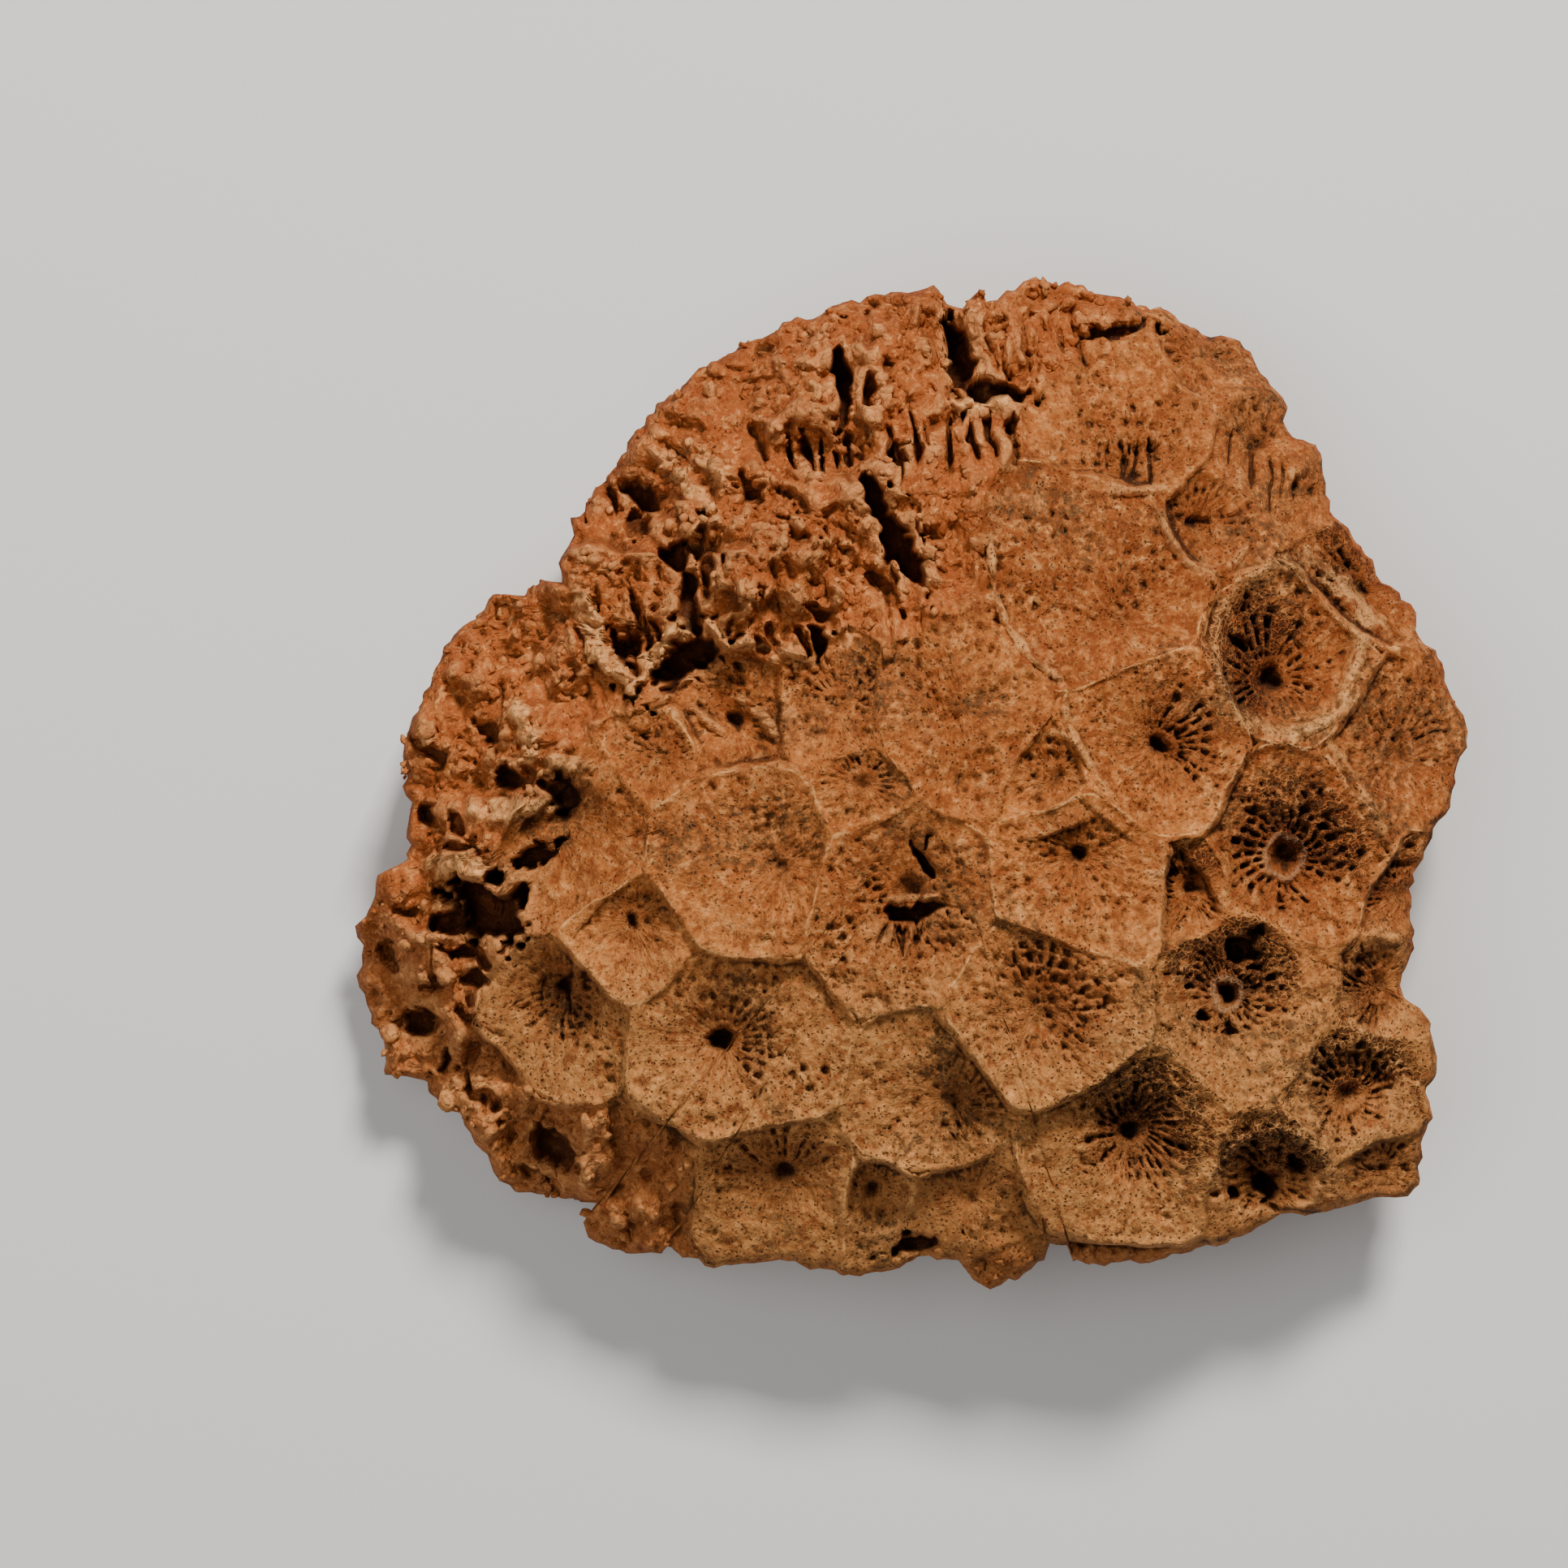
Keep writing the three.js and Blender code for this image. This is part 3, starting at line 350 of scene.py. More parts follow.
# Cracks and holes cut steeply in: from u, v to u, v, width, depth.
HOLES = [
    (1038, 440, 1040, 522, 1.1, 5), (1176, 400, 1182, 485, 1.8, 5), (1185, 488, 1245, 490, 1.4, 4),
    (1062, 592, 1085, 640, 1.3, 4), (1090, 648, 1108, 682, 1.6, 5), (1112, 690, 1133, 722, 1.4, 5),
    (1345, 412, 1410, 402, 0.9, 2.5), (850, 720, 858, 790, 1.6, 4), (826, 835, 866, 795, 2.2, 5),
    (1005, 770, 1010, 815, 1.1, 3.5), (775, 600, 805, 615, 1.5, 3.5), (832, 680, 838, 690, 1.7, 3.5),
    (590, 1118, 616, 1124, 3.8, 7), (530, 1137, 590, 1132, 1.7, 4), (500, 1262, 530, 1260, 1.7, 4),
    (618, 955, 642, 965, 1.4, 3.5), (698, 975, 704, 985, 1.9, 3), (660, 1400, 700, 1430, 2.2, 3),
    (1090, 1118, 1128, 1126, 1.5, 3), (1115, 1122, 1150, 1114, 1.4, 3), (1512, 1166, 1530, 1166, 2.0, 3),
    (1552, 1448, 1562, 1464, 1.2, 3), (1112, 1534, 1150, 1528, 1.3, 3),
]

# Smaller cracks and holes, too fine for the solid.
SMALL_HOLES = [
    (1067, 465, 1067, 500, 0.8, 2.5), (1240, 520, 1242, 560, 0.8, 2), (775, 648, 790, 648, 1.0, 2.5),
    (545, 1300, 550, 1304, 1.0, 3), (592, 1180, 598, 1184, 1.0, 2.5), (552, 1045, 598, 1043, 0.8, 2),
    (1122, 1042, 1143, 1074, 0.8, 2.5), (1590, 1425, 1602, 1434, 0.9, 2), (1512, 1462, 1520, 1470, 0.8, 2),
    (1564, 1484, 1572, 1488, 0.7, 1.5), (1103, 560, 1106, 575, 1.3, 2.5), (1452, 1212, 1458, 1208, 0.6, 1.5),
    (1468, 1247, 1473, 1243, 0.8, 1.8), (1500, 1266, 1508, 1264, 0.7, 1.5), (1508, 785, 1526, 800, 0.8, 1.8),
    (655, 1062, 675, 1040, 1.2, 3), (684, 1203, 698, 1207, 1.5, 1.0), (868, 650, 872, 745, 1.2, 2.4),
    (1000, 745, 1012, 765, 1.0, 1.8), (1075, 725, 1095, 745, 1.1, 1.6), (915, 600, 935, 625, 1.2, 1.6),
    (975, 612, 1000, 640, 1.0, 1.4), (768, 792, 772, 815, 1.2, 2.5), (470, 1175, 490, 1195, 1.0, 2.2),
    (560, 1172, 592, 1176, 1.0, 2.4), (583, 1196, 592, 1206, 1.1, 2.4), (515, 915, 545, 935, 1.2, 2.0),
    (598, 895, 610, 908, 1.0, 2.0), (522, 1000, 532, 1010, 1.0, 2.0), (560, 1016, 570, 1026, 1.0, 2.0),
    (520, 1215, 540, 1212, 0.9, 1.8), (560, 1240, 575, 1262, 1.0, 2.0), (490, 1120, 510, 1128, 0.9, 1.6),
    (540, 1085, 556, 1092, 0.9, 1.6), (580, 1345, 600, 1352, 1.2, 2.2), (640, 1440, 655, 1450, 1.2, 2.0),
]


def to_plan(u, v):
    return (u - MIDDLE_U) / UNITS_PER_MM, (MIDDLE_V - v) / UNITS_PER_MM


def mix(a, b, t):
    return a + (b - a) * t


def ease(t):
    return t * t * (3 - 2 * t)


def step(low, high, value):
    """Goes smoothly from 0 at low to 1 at high."""
    return ease(np.clip((value - low) / (high - low), 0, 1))


def corner(i, j, seed):
    """Random number from 0 to 1 that belongs to a grid corner."""
    s = np.sin(i * 127.1 + j * 311.7 + seed * 74.7) * 43758.5453
    return s - np.floor(s)


def hills(x, y, pattern):
    """Smooth hills and hollows, as high and as deep as the pattern says."""
    size, seed, height = pattern
    i = np.floor(x / size)
    j = np.floor(y / size)
    a = ease(x / size - i)
    b = ease(y / size - j)
    low = mix(corner(i, j, seed), corner(i + 1, j, seed), a)
    high = mix(corner(i, j + 1, seed), corner(i + 1, j + 1, seed), a)
    return height * (2 * mix(low, high, b) - 1)


def all_hills(x, y, patterns):
    return sum(hills(x, y, pattern) for pattern in patterns)


def knobs(x, y, size, seed):
    """Distance, in grid squares, to the nearest of scattered points, one in each square."""
    x, y = x / size, y / size
    i = np.floor(x)
    j = np.floor(y)
    best = np.full(np.shape(x), 9.0)
    for di in (-1, 0, 1):
        for dj in (-1, 0, 1):
            px = i + di + 0.15 + 0.7 * corner(i + di, j + dj, seed)
            py = j + dj + 0.15 + 0.7 * corner(i + di, j + dj, seed + 0.5)
            best = np.minimum(best, np.hypot(x - px, y - py))
    return best


def grains(x, y, pattern):
    """Packed rounded grains, low in the cracks between them and high on top."""
    return pattern.height * (0.5 - 1.6 * knobs(x, y, pattern.size, pattern.seed) ** 2)


def pits(x, y, pattern, narrow, wide):
    """Scattered round holes: 1 inside, 0 outside."""
    return 1 - step(narrow, wide, knobs(x, y, pattern.size, pattern.seed))


HUB = to_plan(HUB_U, HUB_V)
edge_xy = np.array([to_plan(u, v) for u, v in EDGE])


def from_hub(x, y):
    """How far places are from the hub, and in which direction."""
    return np.hypot(x - HUB[0], y - HUB[1]), np.arctan2(y - HUB[1], x - HUB[0])


def to_xy(radius, turn):
    return HUB[0] + radius * np.cos(turn), HUB[1] + radius * np.sin(turn)


def ray_to_edge(angle):
    """Where rays from the hub leave the broken edge."""
    c, s = np.cos(angle), np.sin(angle)
    far = np.zeros_like(angle)
    ends = np.roll(edge_xy, -1, axis=0)
    for (ax, ay), (bx, by) in zip(edge_xy - HUB, ends - HUB):
        dx, dy = bx - ax, by - ay
        det = dx * s - dy * c
        det = np.where(np.abs(det) < TINY, TINY, det)
        along = (ay * c - ax * s) / det
        reach = (ay * dx - ax * dy) / det
        hit = (along >= 0) & (along <= 1) & (reach > far)
        far = np.where(hit, reach, far)
    return far


fine_turns = np.linspace(0, FULL_TURN, FINE_STEPS + 1)
fine_radii = ray_to_edge(fine_turns)


def edge_radius(angle):
    return np.interp(np.mod(angle, FULL_TURN), fine_turns, fine_radii)


def inside_edge(x, y):
    """How far inside the broken edge places are, and their direction from the hub."""
    reach, turn = from_hub(x, y)
    return edge_radius(turn) - reach, turn


round_steps = np.arange(ROUND_STEPS)[:, None] + np.arange(-ROUND_REACH, ROUND_REACH + 1)[None, :]
round_radii = ray_to_edge(round_steps / ROUND_STEPS * FULL_TURN).mean(axis=1)


def around(values, angle):
    """Values given at even steps round the hub, joined smoothly."""
    values = np.asarray(values, float)
    t = angle / FULL_TURN * len(values)
    k = np.floor(t).astype(int)
    return mix(values[k % len(values)], values[(k + 1) % len(values)], ease(t - k))


def dome_height(x, y):
    """The rounded crown that the chambers stand on."""
    reach, turn = from_hub(x, y)
    share = reach / around(round_radii, turn)
    rim = around(EDGE_HEIGHTS, turn)
    return mix(rim, CROWN_HEIGHT, 1 - share**DOME_POWER) + hills(x, y, SWELL)


class Chamber:
    """One living chamber in millimetres, made from a row of the table."""

    def __init__(self, u, v, reach, pit_u, pit_v, depth, lift, pit_radius, pit_depth, wear,
                 edge=0, ring=0, pores=0.6, open_turn=90, rust=0.4):
        self.x, self.y = to_plan(u, v)
        self.reach = reach / UNITS_PER_MM
        self.pit_x, self.pit_y = to_plan(pit_u, pit_v)
        self.depth, self.pit_radius, self.pit_depth = depth, pit_radius, pit_depth
        self.wear, self.edge, self.ring = wear, edge, ring
        self.pores, self.open_turn, self.rust = pores, np.radians(open_turn), rust
        self.level = float(dome_height(self.x, self.y)) + lift
        self.slope_x = self.slope(SLOPE_SPAN, 0)
        self.slope_y = self.slope(0, SLOPE_SPAN)
        self.plates = FEWEST_PLATES + (u + v) // 5 % MORE_PLATES

    def slope(self, dx, dy):
        """How steeply the floor rises that way, which is a share of the dome's own slope."""
        follow = mix(SHARP_TERRACE_SLOPE, WORN_TERRACE_SLOPE, ease(min(1, self.wear / WORN_SLOPE_FROM)))
        rise = dome_height(self.x + dx, self.y + dy) - dome_height(self.x - dx, self.y - dy)
        return follow * float(rise) / (2 * SLOPE_SPAN)

    def spread(self, x, y):
        return np.hypot(x - self.x, y - self.y) - self.reach

    def terrace(self, x, y):
        return self.level + (x - self.x) * self.slope_x + (y - self.y) * self.slope_y


chambers = [Chamber(*row) for row in CHAMBERS]


class Places:
    """Which chamber each point is in, how far the wall is, and where the pit lies.

    A chamber that stands higher overlaps its lower neighbours with rounded corners, like a
    shingle, so walls are measured to a softened border and lower chambers reach under it.
    """

    def __init__(self, x, y):
        wx = x + all_hills(x, y, WOBBLE_X)
        wy = y + all_hills(x, y, WOBBLE_Y)
        spreads = np.array([chamber.spread(wx, wy) for chamber in chambers])
        self.index = spreads.argmin(axis=0)
        self.terrace = self.own("level") + (x - self.own("x")) * self.own("slope_x")
        self.terrace = self.terrace + (y - self.own("y")) * self.own("slope_y")
        self.find_walls(x, y, spreads, spreads.min(axis=0))
        dx, dy = wx - self.own("pit_x"), wy - self.own("pit_y")
        self.r = np.hypot(dx, dy)
        self.share = self.r / np.maximum(self.r + np.maximum(self.wall, 0), TINY)
        self.turn = np.arctan2(dy, dx) + hills(x, y, TWIST)
        self.dx = self.r * np.cos(self.turn)
        self.dy = self.r * np.sin(self.turn)

    def own(self, name):
        """This value of the chamber that each point is in."""
        return np.array([getattr(chamber, name) for chamber in chambers])[self.index]

    def find_walls(self, x, y, spreads, first):
        """The way to the wall, the wear, and how high the neighbours stand beside each point."""
        total = sum(np.exp((first - spread) / CORNER_ROUNDING) for spread in spreads)
        steep = mix(GENTLE_SLOPE, CLIFF_SLOPE, step(-0.4, 0.2, hills(x, y, STEEP_PATCHES)))
        self.wall, self.wear, weight = (np.zeros(x.shape) for _ in range(3))
        self.cliff, self.lower = (np.full(x.shape, -FAR) for _ in range(2))
        for k, (chamber, spread) in enumerate(zip(chambers, spreads)):
            others = np.maximum(total - np.exp((first - spread) / CORNER_ROUNDING), TINY)
            inside = (first - CORNER_ROUNDING * np.log(others) - spread) / 2
            near = np.exp(first - spread)
            here = self.index == k
            weight += near
            self.wear += near * chamber.wear
            self.wall = np.where(here, inside, self.wall)
            plane = chamber.terrace(x, y)
            under = UNDERLAP * step(0, 0.4, self.terrace - plane)
            beyond = np.maximum(0, -inside - under)
            lip = plane + chamber.edge - steep * beyond - CLIFF_SLOPE * np.maximum(0, beyond - TALUS)
            self.cliff = np.where(here, self.cliff, np.maximum(self.cliff, lip))
            beside = plane - 3 * np.maximum(0, (spread - first) / 2 - 1.2)
            self.lower = np.where(here, self.lower, np.maximum(self.lower, beside))
        self.wear /= weight


def plate_gaps(place, doubling):
    """How open the gap between two radial plates is, 0 to 1, and a chance value for each gap."""
    count = place.own("plates") * doubling
    lane = place.turn / FULL_TURN * count + PLATE_WAVE * np.sin(WAVE_PACE * place.r + count)
    number = np.mod(np.floor(lane), count)
    across = np.abs(lane - np.floor(lane) - 0.5) * 2
    return 1 - step(0.3, 0.7, across), corner(number, place.index, LUCK_SEED + doubling)


def strokes(x, y, rows, seed, fine=0.2):
    """Ragged ovals along short lines: the largest height that any of them gives each point."""
    most = np.zeros(x.shape)
    rags = Pattern(RAGS_SIZE, seed, 0.4), Pattern(FINE_RAGS_SIZE, seed, fine)
    ragged = 1 + hills(x, y, rags[0]) + hills(x, y, rags[1])
    for u0, v0, u1, v1, width, height in rows:
        (x0, y0), (x1, y1) = to_plan(u0, v0), to_plan(u1, v1)
        length = np.hypot(x1 - x0, y1 - y0)
        ax, ay = (x1 - x0) / length, (y1 - y0) / length
        dx, dy = x - (x0 + x1) / 2, y - (y0 + y1) / 2
        along = (dx * ax + dy * ay) / (length / 2 + width * 0.55)
        across = (-dx * ay + dy * ax) / (width * 0.58)
        far = np.hypot(along, across) * ragged
        most = np.maximum(most, height * (1 - step(0.55, 1.05, far)))
    return most


def bowls(x, y):
    """Low oval rims and the hollows inside them."""
    rim, hollow = np.zeros(x.shape), np.zeros(x.shape)
    for u, v, half_width, half_height, width, height, depth in BOWLS:
        middle_x, middle_y = to_plan(u, v)
        a, b = half_width / UNITS_PER_MM, half_height / UNITS_PER_MM
        share = np.hypot((x - middle_x) / a, (y - middle_y) / b)
        away = (share - 1) * (a + b) / 2 + hills(x, y, BOWL_BENDS)
        rim = np.maximum(rim, height * np.exp(-((away / width) ** 2)))
        hollow = np.maximum(hollow, depth * (1 - step(0.5, 1, share)))
    return rim, hollow


def comb_slits():
    """The slits of all combs as rows for strokes."""
    rows = []
    for number, (u0, v0, u1, v1, count, length, slant, width, depth) in enumerate(COMBS):
        for k in range(count):
            luck = corner(k, number, COMB_SEED)
            size = 0.5 + corner(k, number, COMB_SEED + 0.5)
            along = (k + 0.2 + 0.6 * luck) / count
            u, v = mix(u0, u1, along), mix(v0, v1, along)
            lean = slant + COMB_JITTER * (luck - 0.5)
            rows.append((u, v, u + lean, v + length * size, width * (0.7 + 0.6 * luck), depth * size))
    return rows


SLITS = comb_slits()


def radial_plates(place):
    """How deep the gaps between the plates round each pit go, near the pit and farther out."""
    ring, open_side, pores = place.ring, place.open_side, place.own("pores")
    gap, luck = plate_gaps(place, 1)
    bar = step(0.55, 0.8, np.abs(np.mod(place.r / BAR_SPACING + 5 * luck, 1) - 0.5) * 2)
    reach = ring + 0.5 + 1.5 * luck + 0.5 * open_side
    zone = step(ring, ring + 0.3, place.r) * (1 - step(reach, reach + 0.8, place.r))
    shut = mix(0.2, 0.7, step(0.8, 1, pores))
    near = gap * zone * (0.2 + 1.5 * luck) * (1 - 0.85 * bar) * mix(shut, 1, open_side)
    gap, luck = plate_gaps(place, 2)
    bar = step(0.3, 0.6, np.abs(np.mod(place.r / FAR_BAR_SPACING + 5 * luck, 1) - 0.5) * 2)
    chance = step(0.95 - 0.6 * open_side * pores, 1.0, luck)
    zone = step(ring + 1.2, ring + 2.0, place.r) * (1 - step(4.5, 7.0, place.r))
    far = gap * zone * chance * (1 - bar) * 0.8
    return pores * near + mix(0.4, 1, pores) * far


def pecks(x, y, place):
    """Scattered pores, denser in patches."""
    patch = hills(x, y, PECK_PATCHES)
    big = pits(x, y, PECKS, 0.4 * PECK_WIDTH, PECK_WIDTH) * step(-0.1, 0.3, patch)
    small = pits(x, y, SMALL_PECKS, 0.4 * SMALL_PECK_WIDTH, SMALL_PECK_WIDTH) * step(-0.5, 0.1, patch)
    density = 0.4 + 0.6 * place.own("pores") * place.open_side
    return density * (PECKS.height * big + SMALL_PECKS.height * small)


def eaten_relief(x, y):
    """Crumbly knobs with slots and hollows between, where the weather has opened the coral."""
    wx = x + all_hills(x, y, BEND_X)
    wy = y + all_hills(x, y, BEND_Y)
    knob = grains(wx, wy, KNOBS)
    bead = grains(wx, wy, BEADS) * step(-0.9, 0.3, hills(x, y, BEAD_PATCHES))
    crumb = grains(wx, wy, CRUMBS)
    slot = SLOT_DEPTH * step(0.35, 0.75, hills(wx, wy / 3.4, SLOTS))
    slot = slot * step(-0.3, 0.3, hills(x, y, SLOT_PATCHES))
    hollow = HOLLOW_DEPTH * step(0.5, 0.8, hills(wx, wy / 1.3, HOLLOWS))
    return knob + bead + crumb - slot - hollow


def cup_height(x, y, place):
    """The chamber's own floor: a funnel with a pit, plates, pores and a low edge."""
    pit_radius = place.own("pit_radius")
    funnel = 0.6 * np.exp(-((place.r / FUNNEL_REACH) ** 2)) + 0.4 * (1 - place.share)
    broken = step(-0.5, 0.2, hills(x, y, CREST_GAPS))
    crest = place.own("edge") * broken * np.clip(1 - np.abs(place.wall) / WALL_FLARE, 0, 1) ** 1.6
    cup = place.terrace - place.own("depth") * funnel + crest
    drop = np.maximum(0, cup - place.lower)
    cup = cup - np.minimum(drop, CLIFF_SLOPE * np.maximum(0, -place.wall))
    floor_share = step(0.1, 0.5, place.wall) * step(-0.2, 0.25, cup - place.cliff)
    toward = np.cos(place.turn - place.own("open_turn"))
    place.open_side = step(-0.6, 0.6, toward + hills(x, y, OPEN_PATCHES))

    rim = pit_radius * (1 + hills(place.turn * 1.6, place.index * 1.7, RIM_BENDS))
    place.ring = pit_radius + RING_GAP
    place.lip = place.own("ring") * np.exp(-(((place.r - rim - 0.2) / 0.22) ** 2))
    lean = 1 + PIT_LEAN * (place.dx + place.dy) / rim
    pit = place.own("pit_depth") * lean * (1 - step(0.3, 1.0, place.r / rim))
    cup = cup + place.lip - pit
    cup = cup - floor_share * (1 - place.wear) * radial_plates(place)
    return cup - floor_share * pecks(x, y, place)


def top_height(x, y):
    """Height of the weathered upper face, and what the colouring needs to know about it."""
    place = Places(x, y)
    cup = cup_height(x, y, place)
    eaten = step(EATEN_FROM, EATEN_FULLY, place.wear)
    rough = place.wear * hills(x, y, LUMPS) + mix(GRIT_ON_SHARP, 1, place.wear) * hills(x, y, GRIT)
    rough = rough + eaten * eaten_relief(x, y)
    rough = rough + (1 - place.wear) * grains(x + hills(x, y, SCALE_BENDS), y, SCALES)
    rough = rough + mix(0.4, 0.7, place.open_side) * (1 - 0.6 * eaten) * grains(x, y, FINE_GRAINS)
    ridge = strokes(x, y, RIDGES + SMALL_RIDGES, RIDGE_SEED) * (1 + hills(x, y, TEETH))
    place.rim, hollow = bowls(x, y)
    place.deep = strokes(x, y, HOLES, HOLE_SEED, 0.35) + strokes(x, y, SMALL_HOLES, SMALL_HOLE_SEED, 0.45)
    place.deep = place.deep + strokes(x, y, SLITS, SLIT_SEED)
    return np.maximum(cup, place.cliff) + rough + ridge + place.rim - hollow - place.deep, place


def side_ladder():
    """Corners of the broken side as in the solid: their turns, and a row of each level."""
    reach, turn = from_hub(*edge_xy.T)
    c, s = np.cos(turn), np.sin(turn)
    number = np.arange(len(edge_xy))
    rows = []
    for level, (share, radius_share) in enumerate(SIDE_LEVELS):
        facet = hills(c, s + FACET_LEAN * share, FACETS)
        rib = hills(c, s + RIB_LEAN * share, RIBS)
        chip = CHIP_DEPTH * (2 * corner(number, level, CHIP_SEED) - 1)
        broken = facet + rib + chip - SIDE_TRIM if share <= UPRIGHT_SHARE else 0
        sharpness = mix(FLOOR_SHARPNESS, 1, ease(min(1, share / UPRIGHT_SHARE)))
        line = mix(around(round_radii, turn), reach, sharpness)
        rise = CHIP_RISE * (2 * corner(number, level, RISE_SEED) - 1) if share > 0 else 0
        rows.append((radius_share * line + broken, share * around(EDGE_HEIGHTS, turn) + rise))
    return turn, rows


def side_hills(arc, z, pattern):
    """Hills on the side of the piece that meet without a seam where the arc closes."""
    full = FULL_TURN * MEAN_RADIUS
    return mix(hills(arc, z, pattern), hills(arc - full, z, pattern), step(full - SEAM, full, arc))


def side_radius(turn, z, outline, ladder):
    """How far the broken side is from the hub's axis at a given height."""
    corners, rows = ladder
    at = [np.interp(turn, corners, row, period=FULL_TURN) for pair in rows for row in pair]
    radius = at[0]
    for low_r, low_z, high_r, high_z in zip(at[0::2], at[1::2], at[2::2], at[3::2]):
        climb = np.clip((z - low_z) / (high_z - low_z), 0, 1)
        radius = np.where(z > low_z, mix(low_r, high_r, climb), radius)
    top = at[-1]
    radius = mix(radius, outline, step(top, top + RIM_BLEND, z))
    arc = turn * MEAN_RADIUS
    fine = sum(side_hills(arc, z, pattern) for pattern in SIDE_GRIT)
    pock = POCKS.height * pits(arc, z, POCKS, 0.15, 0.4)
    return radius + (fine - pock - SIDE_GRIT_TRIM) * step(0.0, 1.0, z)


def leaning(x, y, wear, inset):
    """Lumps that lean over a little where the coral is worn."""
    shift = wear * np.clip(inset / LEAN_REACH, 0, 1)
    return x + shift * hills(x, y, LEAN_X), y + shift * hills(x, y, LEAN_Y)


def face_rows(turn, outline, soft_map):
    """Rows of the upper face from the hub out to the rim.

    Along the rim the relief fades into the softened face, so that the edge isn't all teeth.
    """
    share = np.arange(1, TOP_ROWS + 1)[:, None] / TOP_ROWS
    x, y = to_xy(share * outline, turn)
    height, place = top_height(x, y)
    inset = outline * (1 - share)
    soft = sample(soft_map, x, y)
    height = mix(soft, height, step(0, mix(RIM_BAND, WORN_RIM_BAND, place.wear), inset))
    height = height - RIM_DROP * np.clip(1 - inset / RIM_DROP_REACH, 0, 1) ** 2
    return np.stack([*leaning(x, y, place.wear, inset), height], axis=2)


def side_rows(turn, outline, rim_height):
    """Rows of the broken side from just under the rim down to the floor."""
    ladder = side_ladder()
    rows = []
    for k in range(1, SIDE_ROWS + 1):
        z = rim_height * (1 - k / SIDE_ROWS)
        radius = side_radius(turn, z, outline, ladder)
        radius = mix(outline, radius, min(1, k / BLEND_ROWS))
        rows.append(np.stack([*to_xy(radius, turn), z], axis=1))
    return np.array(rows)


def build_skin(soft_map):
    """Closed skin of the chunk on a grid that runs round the hub, and the two ends of its axis."""
    turn = np.arange(AROUND) / AROUND * FULL_TURN
    ragged = sum(side_hills(turn * MEAN_RADIUS, 0, pattern) for pattern in EDGE_GRIT)
    outline = edge_radius(turn) + ragged - EDGE_TRIM
    face = face_rows(turn, outline, soft_map)
    side = side_rows(turn, outline, face[-1, :, 2])
    hub = np.array([*HUB, 0])
    floor = [hub + (1 - k / FLOOR_ROWS) * (side[-1] - hub) for k in range(1, FLOOR_ROWS)]
    middle, _ = top_height(np.array([HUB[0]]), np.array([HUB[1]]))
    return np.concatenate([face, side, floor]), np.array([[*HUB, middle[0]], hub])


def skin_mesh(name, soft_map):
    """The skin's grid as triangles, with a fan of them at each end."""
    grid, ends = build_skin(soft_map)
    here = np.arange(AROUND)
    after = (here + 1) % AROUND
    row = np.arange(len(grid) - 1)[:, None] * AROUND
    below = row + AROUND
    halves = np.stack([row + here, below + here, below + after], axis=2)
    other_halves = np.stack([row + here, below + after, row + after], axis=2)
    last = (len(grid) - 1) * AROUND
    crown_end = np.full(AROUND, len(grid) * AROUND)
    crown = np.stack([crown_end, here, after], axis=1)
    base = np.stack([crown_end + 1, last + after, last + here], axis=1)
    triangles = np.concatenate([halves.reshape(-1, 3), other_halves.reshape(-1, 3), crown, base])
    return mesh_from(name, np.concatenate([grid.reshape(-1, 3), ends]) / MM_PER_METRE, triangles)


def mesh_from(name, verts, triangles):
    mesh = bpy.data.meshes.new(name)
    mesh.vertices.add(len(verts))
    mesh.vertices.foreach_set("co", verts.astype(np.float32).ravel())
    mesh.loops.add(triangles.size)
    mesh.loops.foreach_set("vertex_index", triangles.astype(np.int32).ravel())
    mesh.polygons.add(len(triangles))
    mesh.polygons.foreach_set("loop_start", np.arange(0, triangles.size, 3, dtype=np.int32))
    mesh.update(calc_edges=True)
    mesh.validate()
    return mesh


def crumb_places(spacing, smallest, largest):
    """Middles and radii of crumbs scattered over the eaten parts, none of them in a hole."""
    squares = (int(-2 * MAP_WEST / spacing), int(-2 * MAP_SOUTH / spacing))
    i, j = (side.ravel() for side in np.indices(squares))
    x = MAP_WEST + spacing * (i + corner(i, j, CRUMB_SEED))
    y = MAP_SOUTH + spacing * (j + corner(i, j, CRUMB_SEED + 0.5))
    height, place = top_height(x, y)
    inset, _ = inside_edge(x, y)
    radius = mix(smallest, largest, corner(i, j, CRUMB_SEED + 1) ** 2)
    chance = 0.8 * step(0.4, 0.75, place.wear) * step(-0.5, 0.4, hills(x, y, CRUMB_PATCHES))
    chance = chance * step(-1.2, -0.2, eaten_relief(x, y))
    kept = (corner(i, j, CRUMB_SEED + 2) < chance) & (place.deep < 0.3) & (inset > 0.6 * radius)
    x, y = leaning(x, y, place.wear, inset)
    return np.stack([x, y, height - CRUMB_SINK * radius], axis=1)[kept], radius[kept]


def ball_parts(subdivisions):
    """Points and triangles of a ball of radius 1."""
    ball = bmesh.new()
    bmesh.ops.create_icosphere(ball, subdivisions=subdivisions, radius=1)
    points = np.array([vertex.co[:] for vertex in ball.verts])
    faces = np.array([[vertex.index for vertex in face.verts] for face in ball.faces])
    ball.free()
    return points, faces


